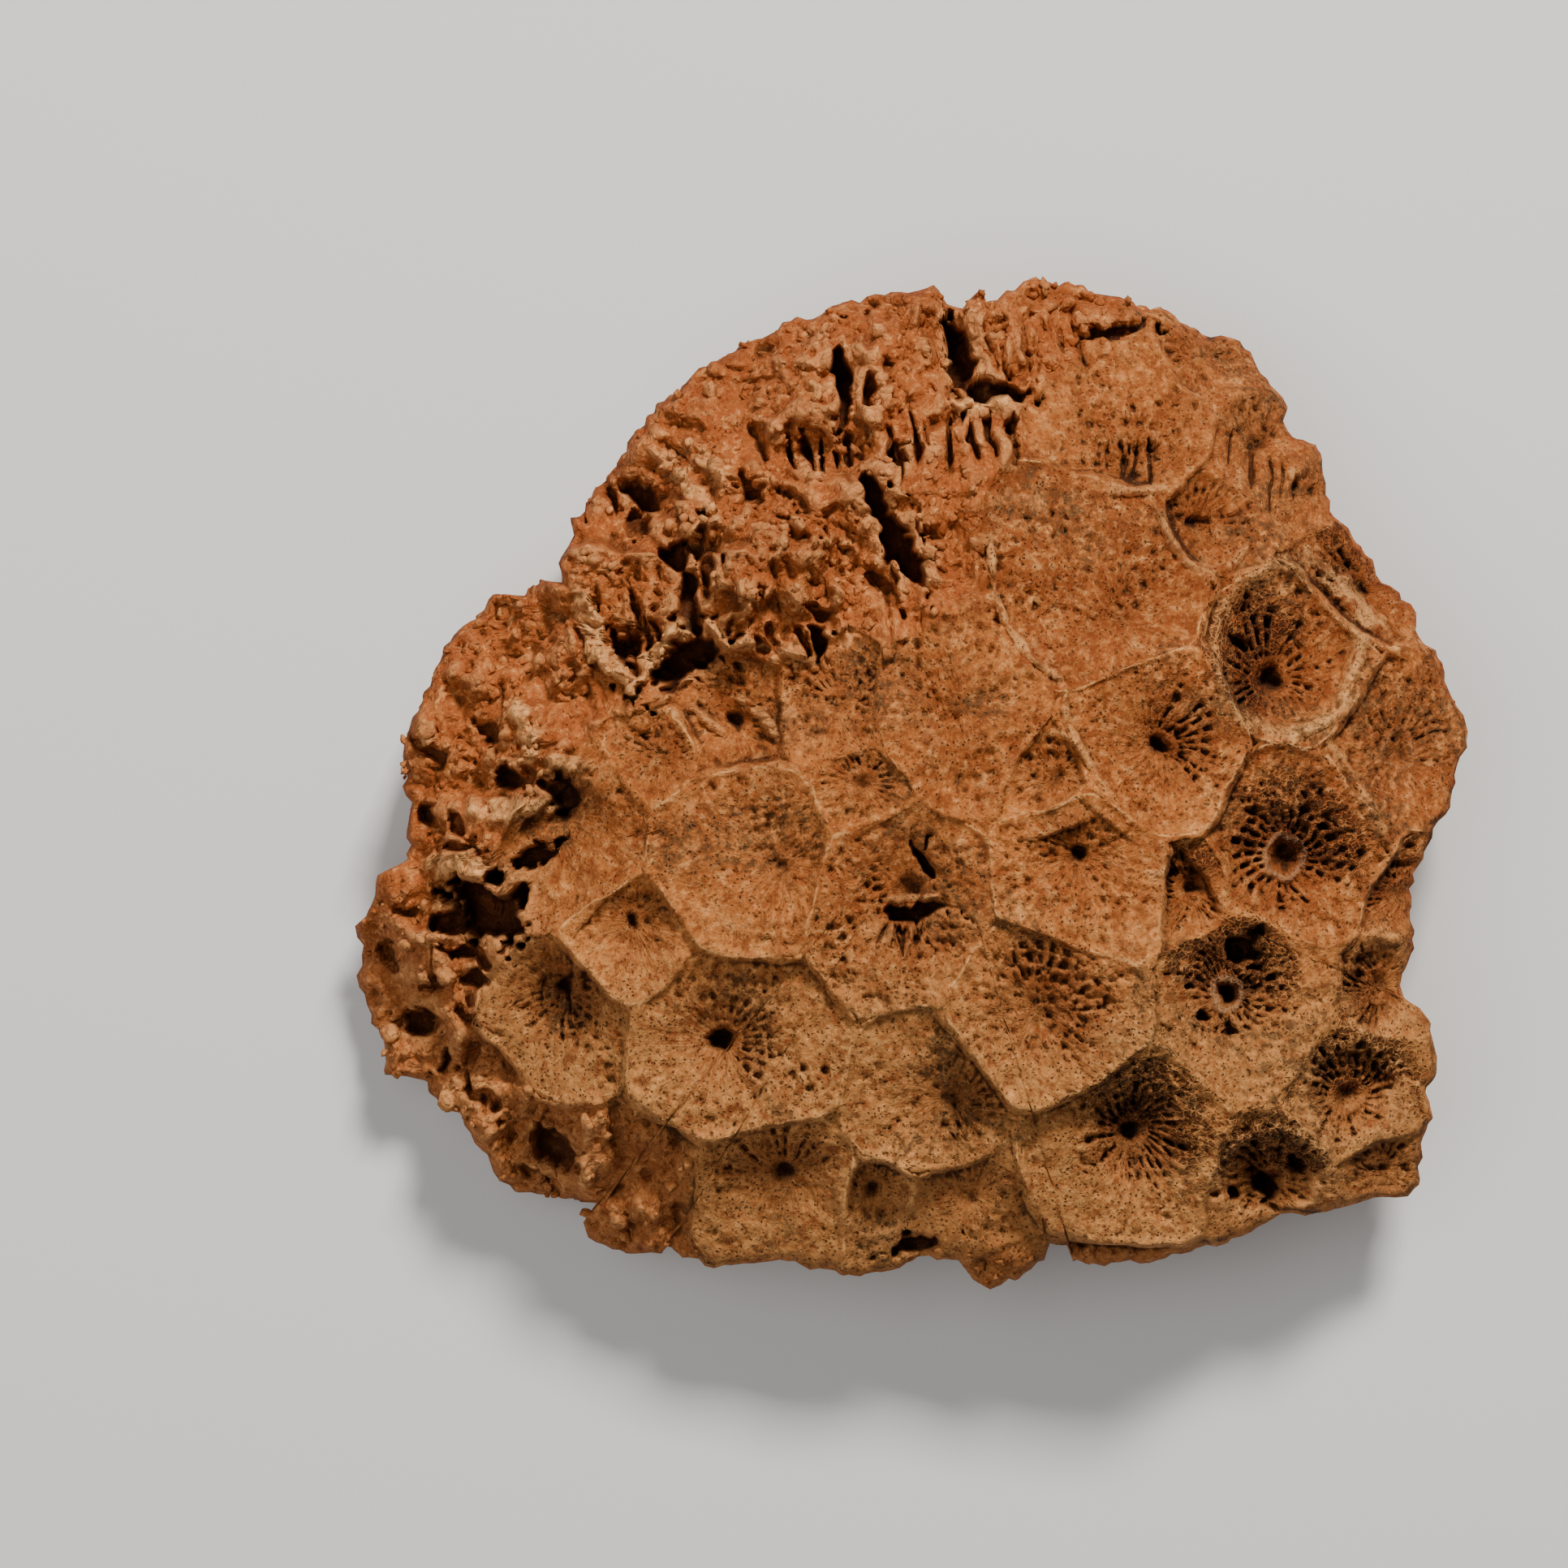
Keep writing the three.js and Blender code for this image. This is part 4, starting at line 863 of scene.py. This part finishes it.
def crumb_mesh(name, sizes):
    """Ragged little balls, half sunk in the skin."""
    points, faces = ball_parts(2 if sizes[2] > BIG_CRUMB else 1)
    middles, radii = crumb_places(*sizes)
    crumb = np.arange(len(radii))
    turn = FULL_TURN * corner(crumb, 0, CRUMB_SEED + 3)
    narrow = 0.5 + 0.5 * corner(crumb, 1, CRUMB_SEED + 3)
    luck = corner(crumb[:, None], np.arange(len(points))[None, :], CRUMB_SEED + 4)
    size = (1 + CRUMB_RAGGED * (2 * luck - 1)) * radii[:, None]
    along, across = points[:, 0] * size, points[:, 1] * size * narrow[:, None]
    c, s = np.cos(turn)[:, None], np.sin(turn)[:, None]
    verts = np.stack([along * c - across * s, along * s + across * c, points[:, 2] * size], axis=2)
    verts = (verts + middles[:, None, :]).reshape(-1, 3) / MM_PER_METRE
    triangles = (faces[None, :, :] + len(points) * crumb[:, None, None]).reshape(-1, 3)
    return mesh_from(name, verts, triangles)


def thin_out(piece, keep):
    """Keeps about this many triangles, most of them where the surface bends."""
    thinner = piece.modifiers.new("thin", "DECIMATE")
    thinner.ratio = keep / len(piece.data.polygons)
    graph = bpy.context.evaluated_depsgraph_get()
    slim = bpy.data.meshes.new_from_object(piece.evaluated_get(graph))
    piece.modifiers.clear()
    piece.data = slim


def blurred(field, reach):
    """The field smoothed by three box filters, each reach cells to either side."""
    size = 2 * reach + 1
    for _ in range(3):
        for axis in (0, 1):
            margins = [(reach + 1, reach) if a == axis else (0, 0) for a in (0, 1)]
            total = np.cumsum(np.pad(field, margins, mode="edge"), axis=axis)
            high = np.take(total, range(size, total.shape[axis]), axis=axis)
            low = np.take(total, range(0, total.shape[axis] - size), axis=axis)
            field = (high - low) / size
    return field


def smooth_maps():
    """The upper face smoothed a lot and a little, to tell hollows and cracks by."""
    along_x = np.arange(MAP_WEST, -MAP_WEST, MAP_STEP)
    along_y = np.arange(MAP_SOUTH, -MAP_SOUTH, MAP_STEP)
    height, _ = top_height(*np.meshgrid(along_x, along_y, indexing="ij"))
    return [blurred(height, reach) for reach in BLUR_CELLS]


def sample(field, x, y):
    """The map's value at each place, between its grid points."""
    i = np.clip((x - MAP_WEST) / MAP_STEP, 0, field.shape[0] - 1.001)
    j = np.clip((y - MAP_SOUTH) / MAP_STEP, 0, field.shape[1] - 1.001)
    a, b = i.astype(int), j.astype(int)
    low = mix(field[a, b], field[a + 1, b], i - a)
    high = mix(field[a, b + 1], field[a + 1, b + 1], i - a)
    return mix(low, high, j - b)


def add_surface_facts(mesh, maps):
    """Stores at each corner how sunken it is and where it lies in its chamber.

    Most of it holds on the upper face only, and fades on the broken side.
    """
    co = np.empty(len(mesh.vertices) * 3, np.float32)
    mesh.vertices.foreach_get("co", co)
    x, y, z = co.reshape(-1, 3).T.astype(float) * MM_PER_METRE
    sunk, crack = (sample(field, x, y) - z for field in maps)
    face, place = top_height(x, y)
    inset, turn = inside_edge(x, y)
    below_face = step(0.15, 0.7, np.minimum(face, z + sunk) - z)
    low_down = 1 - step(0.5, 1.5, z - around(EDGE_HEIGHTS, turn) * 0.6)
    upper = 1 - below_face * np.maximum(low_down, step(4, 2.5, inset))
    edged = np.clip(place.own("edge") / 0.08, 0, 1)
    thin = [row for row in RIDGES + SMALL_RIDGES if row[4] < THIN_RIDGE]
    facts = {
        "sunk": sunk * upper,
        "crack": crack * upper,
        "wall": mix(WALL_FAR, np.minimum(np.abs(place.wall), WALL_FAR), edged * upper),
        "lip": place.lip * upper,
        "crest": np.clip(strokes(x, y, thin, RIDGE_SEED) + place.rim, 0, 1) * upper,
        "hole": place.deep * upper,
        "eaten": np.maximum(step(EATEN_FROM, EATEN_FULLY, place.wear), 1 - upper),
        "plates": place.own("plates"),
        "ring": place.ring,
        "rust": place.own("rust"),
        "pores": place.own("pores") * mix(0.4, 1, place.open_side) * upper,
    }
    for name, values in facts.items():
        layer = mesh.attributes.new(name, "FLOAT", "POINT")
        layer.data.foreach_set("value", values.astype(np.float32))
    fade = step(0.1, 0.4, place.wall) * upper * (1 - place.wear)
    layer = mesh.attributes.new("cup", "FLOAT_VECTOR", "POINT")
    layer.data.foreach_set("vector", np.stack([place.dx, place.dy, fade], axis=1).astype(np.float32).ravel())


def srgb(red, green, blue):
    """A screen colour, 0 to 255, as the linear colour that shaders take."""
    def linear(value):
        value = value / 255
        return value / 12.92 if value <= 0.04045 else ((value + 0.055) / 1.055) ** 2.4

    return (linear(red), linear(green), linear(blue), 1)


LIGHT = srgb(193, 118, 59)
TAN = srgb(163, 94, 44)
RUST = srgb(122, 58, 22)
RED = srgb(136, 62, 26)
CREAM = srgb(222, 164, 102)
DARK = srgb(42, 15, 5)
UMBER = srgb(84, 42, 16)
GRIME = srgb(78, 62, 38)
ASH = srgb(164, 134, 100)
OLIVE = srgb(182, 128, 72)


class Nodes:
    """Short ways to add and join shader nodes."""

    def __init__(self, tree):
        self.tree = tree

    def put(self, socket, value):
        if isinstance(value, bpy.types.NodeSocket):
            self.tree.links.new(value, socket)
        else:
            socket.default_value = value

    def add(self, kind, *values, **settings):
        """A node with these settings, and with values or sockets for its first inputs."""
        node = self.tree.nodes.new(kind)
        for name, setting in settings.items():
            setattr(node, name, setting)
        for socket, value in zip(node.inputs, values):
            self.put(socket, value)
        return node

    def fill(self, node, values):
        """The node, with values or sockets for the inputs that have these names."""
        for name, value in values.items():
            self.put(node.inputs[name], value)
        return node

    def math(self, operation, *values):
        return self.add("ShaderNodeMath", *values, operation=operation).outputs[0]

    def times(self, value, *factors):
        for factor in factors:
            value = self.math("MULTIPLY", value, factor)
        return value

    def vector_math(self, operation, *values):
        return self.add("ShaderNodeVectorMath", *values, operation=operation).outputs[0]

    def scaled(self, vector, scale):
        node = self.add("ShaderNodeVectorMath", vector, operation="SCALE")
        return self.fill(node, {"Scale": scale}).outputs[0]

    def ramp(self, value, low, high, start=0.0, end=1.0):
        """Goes smoothly from start to end while the value goes from low to high."""
        values = (value, low, high, start, end)
        return self.add("ShaderNodeMapRange", *values, interpolation_type="SMOOTHSTEP").outputs[0]

    def attribute(self, name, output="Fac"):
        return self.add("ShaderNodeAttribute", attribute_name=name).outputs[output]

    def noise(self, vector, scale, detail=2.0, rough=0.5, output="Fac"):
        values = {"Vector": vector, "Scale": scale, "Detail": detail, "Roughness": rough}
        return self.fill(self.add("ShaderNodeTexNoise"), values).outputs[output]

    def cells(self, vector, scale, feature="F1"):
        node = self.add("ShaderNodeTexVoronoi", feature=feature)
        return self.fill(node, {"Vector": vector, "Scale": scale}).outputs["Distance"]

    def blend(self, share, low, high):
        node = self.add("ShaderNodeMix", share, data_type="RGBA")
        self.put(node.inputs[6], low)
        self.put(node.inputs[7], high)
        return node.outputs[2]


class StoneNodes(Nodes):
    """The places, patterns and surface facts that several layers of the stone share."""

    def __init__(self, tree):
        super().__init__(tree)
        self.point = self.scaled(self.add("ShaderNodeTexCoord").outputs["Object"], MM_PER_METRE)
        self.south = self.times(self.add("ShaderNodeSeparateXYZ", self.point).outputs["Y"], -1)
        dx, dy, self.fade = self.add("ShaderNodeSeparateXYZ", self.attribute("cup", "Vector")).outputs
        self.radius = self.math("SQRT", self.math("ADD", self.times(dx, dx), self.times(dy, dy)))
        self.turn = self.math("ARCTAN2", dy, dx)
        self.streak = self.noise(self.spoke(dx, dy), 1.0, 3.0, 0.6)

        noise = self.noise(self.point, 1.7, 3.0, output="Color")
        bend = self.vector_math("SUBTRACT", noise, (0.5, 0.5, 0.5))
        self.bent = self.vector_math("ADD", self.point, self.scaled(bend, 0.5))
        self.mottle = self.noise(self.point, 0.22, 4.0, 0.6)
        self.blotch = self.noise(self.point, 0.75, 4.0, 0.65)
        self.patch = self.noise(self.bent, 1.5, 5.0, 0.7)
        self.grain = self.noise(self.bent, 3.8, 5.0, 0.75)

        facts = [self.attribute(name) for name in ("sunk", "crack", "wall", "eaten", "pores")]
        self.sunk, self.crack, self.wall, self.eaten, self.pores = facts
        self.outward = self.math("SUBTRACT", self.radius, self.attribute("ring"))

    def by_wear(self, fresh, eaten):
        return self.ramp(self.eaten, 0, 1, fresh, eaten)

    def spoke(self, dx, dy):
        """A place that changes fast round the pit and slowly away from it."""
        safe = self.math("MAXIMUM", self.radius, 0.05)
        across = [self.times(self.math("DIVIDE", side, safe), 9.0) for side in (dx, dy)]
        return self.add("ShaderNodeCombineXYZ", *across, self.times(self.radius, 1.1)).outputs[0]


def zone_layers(n):
    """Colours by zone and by blotch, lowest first: how much of it, and the colour."""
    rusty = n.times(n.attribute("rust"), n.ramp(n.blotch, 0.35, 0.6, 0.25, 0.8))
    low_side = n.times(n.ramp(n.south, 6, 20), n.ramp(n.blotch, 0.36, 0.56, 0.3, 0.8))
    inner = n.times(n.ramp(n.outward, -0.4, 4.2, 0.9, 0), n.ramp(n.pores, 0.1, 0.8, 0.4, 1))
    return [
        (rusty, RUST),
        (low_side, OLIVE),
        (n.ramp(n.south, -8, -24, 0, 0.25), RUST),
        (n.times(n.eaten, 0.48), RED),
        (n.ramp(n.blotch, 0.5, 0.64, 0, 0.65), RUST),
        (n.ramp(n.blotch, 0.44, 0.32, 0, 0.35), CREAM),
        (n.ramp(n.patch, 0.54, 0.62, 0, 0.35), RED),
        (n.ramp(n.patch, 0.44, 0.37, 0, 0.25), CREAM),
        (n.times(n.ramp(n.streak, 0.5, 0.62, 0, 0.55), n.fade), RUST),
        (n.times(n.ramp(n.streak, 0.46, 0.36, 0, 0.3), n.fade), CREAM),
        (n.times(inner, n.fade), RUST),
    ]


def relief_layers(n):
    """Creamy walls and crests, painted highlight on raised lumps, grey dirt, and painted shade in hollows
    and grooves.
    """
    line = n.times(n.ramp(n.wall, 0.02, 0.09, 0.75, 0), n.ramp(n.eaten, 0, 0.3, 1, 0))
    line = n.times(line, n.ramp(n.noise(n.point, 0.45), 0.46, 0.56))
    crest = n.times(n.attribute("crest"), n.ramp(n.blotch, 0.66, 0.46, 0, 0.65))
    # Painted highlight: cream on lumps that stand above their smoothed surroundings.
    raised_highlight = n.times(n.ramp(n.sunk, -1.4, -0.2, 1, 0), n.by_wear(0.2, 0.32))
    dirt = n.times(n.ramp(n.noise(n.point, 0.13, 3, 0.6), 0.5, 0.62), n.ramp(n.patch, 0.45, 0.6))
    dirt = n.times(dirt, n.by_wear(0.7, 0.15))
    # Painted shade: umber in the hollows, and dark along grooves and cracks below the nearby surface.
    shade = n.times(n.ramp(n.sunk, 0.15, 1.5), n.by_wear(0.75, 0.6))
    depth = n.math("SUBTRACT", n.crack, n.times(n.eaten, 0.15))
    groove_shade = n.times(n.ramp(depth, 0.03, 0.45), n.ramp(n.wall, 0.1, 0.5, 0.3, 1))
    groove_shade = n.times(groove_shade, n.by_wear(0.8, 0.35))
    return [
        (line, CREAM),
        (crest, CREAM),
        (raised_highlight, CREAM),
        (dirt, GRIME),
        (n.ramp(n.attribute("lip"), 0.1, 0.4, 0, 0.35), ASH),
        (shade, UMBER),
        (groove_shade, DARK),
    ]


def radial_gaps(n):
    """Painted shade in the fine gaps between the plates that run out from each pit."""
    plates = n.attribute("plates")
    wave = n.math("SINE", n.math("ADD", n.times(n.radius, WAVE_PACE), plates))
    lane = n.math("DIVIDE", n.times(n.turn, plates), FULL_TURN)
    lane = n.math("ADD", lane, n.times(wave, PLATE_WAVE))
    across = n.math("ABSOLUTE", n.math("SUBTRACT", n.math("FRACT", lane), 0.5))
    luck = n.times(n.math("SINE", n.times(n.math("FLOOR", lane), 12.9)), 7.3)
    rung = n.math("FRACT", n.math("ADD", n.math("DIVIDE", n.radius, BAR_SPACING), luck))
    open_part = n.ramp(n.math("ABSOLUTE", n.math("SUBTRACT", rung, 0.5)), 0.22, 0.36, 1, 0.15)
    gaps = n.times(n.ramp(across, 0.14, 0.3, 1, 0), open_part, n.fade)
    gaps = n.times(gaps, n.ramp(n.outward, 0, 0.3), n.ramp(n.outward, 1.6, 3.6, 1, 0))
    return n.times(gaps, n.ramp(n.blotch, 0.3, 0.6, 1, 0.3), n.pores)


def pore_dots(n):
    """Painted shade in round pores, and in finer specks in some zones."""
    dots = n.times(n.ramp(n.cells(n.bent, 1.5), 0.14, 0.22, 1, 0), n.ramp(n.blotch, 0.42, 0.68, 1, 0.1))
    dots = n.times(dots, n.ramp(n.pores, 0, 0.8, 0.5, 1))
    peppered = n.math("MAXIMUM", n.ramp(n.mottle, 0.4, 0.6, 1, 0.35), n.ramp(n.south, 8, 18, 0, 0.9))
    specks = n.times(n.ramp(n.cells(n.bent, 2.7), 0.15, 0.26, 1, 0), peppered)
    return n.times(n.math("MAXIMUM", dots, specks), n.by_wear(1, 0.35))


def pore_net(n):
    """Painted shade in open pores packed like a honeycomb, where a chamber is porous."""
    net = n.times(n.ramp(n.cells(n.bent, 1.9, "DISTANCE_TO_EDGE"), 0.05, 0.16), n.pores)
    net = n.times(net, n.ramp(n.outward, 5.5, 3.5), n.ramp(n.blotch, 0.36, 0.5, 0.2, 1))
    return n.times(net, n.ramp(n.pores, 0.5, 0.95), n.ramp(n.eaten, 0, 0.6, 1, 0.1))


def stone_material():
    material = bpy.data.materials.new("fossil_stone")
    material.use_nodes = True
    material.node_tree.nodes.clear()
    n = StoneNodes(material.node_tree)
    gaps, dots, net = radial_gaps(n), pore_dots(n), pore_net(n)
    # Reddish brown between the grains of the eaten parts: partly their own colour, partly painted shade in
    # the crevices.
    between_grains = n.times(n.ramp(n.cells(n.bent, 1.75), 0.4, 0.8, 0, 1), n.eaten)
    marks = [
        # Painted shade in the gaps between plates, in the round pores and specks, and in the pore net.
        (n.times(gaps, 0.6), DARK),
        (n.times(dots, 0.85), DARK),
        (n.times(net, 0.8), DARK),
        (n.times(between_grains, 0.35), RUST),
        (n.times(n.ramp(n.grain, 0.46, 0.68), n.by_wear(0.4, 0.1)), UMBER),
        (n.ramp(n.grain, 0.46, 0.3, 0, 0.32), CREAM),
        # Painted shade deep in the carved holes and cracks.
        (n.ramp(n.attribute("hole"), 0.8, 3.2, 0, 0.65), DARK),
    ]
    colour = n.blend(n.ramp(n.mottle, 0.35, 0.65), TAN, LIGHT)
    for share, tint in zone_layers(n) + relief_layers(n) + marks:
        colour = n.blend(share, colour, tint)

    height = n.times(n.grain, n.by_wear(-0.16, -0.05))
    streaks = n.times(n.streak, n.fade)
    for mark, depth in [(between_grains, 0.08), (dots, 0.15), (gaps, 0.2), (net, 0.2), (streaks, 0.25)]:
        height = n.math("SUBTRACT", height, n.times(mark, depth))
    bump = n.fill(n.add("ShaderNodeBump"), {"Strength": 1, "Distance": BUMP_DEPTH, "Height": height})
    shader = n.fill(n.add("ShaderNodeBsdfPrincipled"), {
        "Base Color": colour,
        "Roughness": n.ramp(n.grain, 0.3, 0.7, 0.78, 0.95),
        "Specular IOR Level": 0.12,
        "Normal": bump.outputs[0],
    })
    n.fill(n.add("ShaderNodeOutputMaterial"), {"Surface": shader.outputs[0]})
    return material


def add_object(name, data):
    thing = bpy.data.objects.new(name, data)
    bpy.context.scene.collection.objects.link(thing)
    return thing


def add_stone(name, mesh, maps, stone, keep=None):
    piece = add_object(name, mesh)
    if keep:
        thin_out(piece, keep)
    add_surface_facts(piece.data, maps)
    piece.data.shade_smooth()
    piece.data.materials.clear()
    piece.data.materials.append(stone)
    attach(piece, "root")
    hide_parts("coral_colony")


def build_coral():
    maps = smooth_maps()
    stone = stone_material()
    add_stone("coral_colony_skin", skin_mesh("coral_colony_skin", maps[0]), maps, stone, KEEP_TRIANGLES)
    for kind, sizes in CRUMB_SIZES.items():
        name = "coral_colony_" + kind
        add_stone(name, crumb_mesh(name, sizes), maps, stone)


def build_floor():
    mesh = bpy.data.meshes.new("floor")
    corners = [(-FLOOR_REACH, -FLOOR_REACH, 0), (FLOOR_REACH, -FLOOR_REACH, 0)]
    corners += [(FLOOR_REACH, FLOOR_REACH, 0), (-FLOOR_REACH, FLOOR_REACH, 0)]
    mesh.from_pydata(corners, [], [(0, 1, 2, 3)])
    floor = add_object("floor", mesh)
    floor.location.z = -FLOOR_DROP
    material = bpy.data.materials.new("floor")
    material.use_nodes = True
    shader = material.node_tree.nodes["Principled BSDF"]
    shader.inputs["Base Color"].default_value = (0.62, 0.61, 0.59, 1)
    shader.inputs["Roughness"].default_value = 0.9
    mesh.materials.append(material)


def add_light(name, place, size, power, colour):
    data = bpy.data.lights.new(name, "AREA")
    data.shape = "SQUARE"
    data.size = size
    data.energy = power
    data.color = colour
    light = add_object(name, data)
    light.location = place
    light.rotation_euler = (Vector(LIT_PLACE) - Vector(place)).to_track_quat("-Z", "Y").to_euler()


def build_lights():
    add_light("key", (0.12, 0.38, 0.46), 0.12, 6.0, (1, 0.97, 0.93))
    add_light("fill", (-0.22, -0.05, 0.55), 0.5, 2.0, (0.97, 0.98, 1))
    world = bpy.data.worlds.new("studio")
    world.use_nodes = True
    background = world.node_tree.nodes["Background"]
    background.inputs["Color"].default_value = (1, 1, 1, 1)
    background.inputs["Strength"].default_value = 0.12
    bpy.context.scene.world = world


def build_camera():
    data = bpy.data.cameras.new("camera")
    data.sensor_width = SENSOR_WIDTH
    data.lens = SENSOR_WIDTH * EYE_HEIGHT / VIEW_WIDTH
    data.clip_start = 0.01
    camera = add_object("camera", data)
    camera.location = (EYE_X / MM_PER_METRE, 0, EYE_HEIGHT / MM_PER_METRE)
    bpy.context.scene.camera = camera


build_camera()
build_lights()
build_floor()
build_coral()
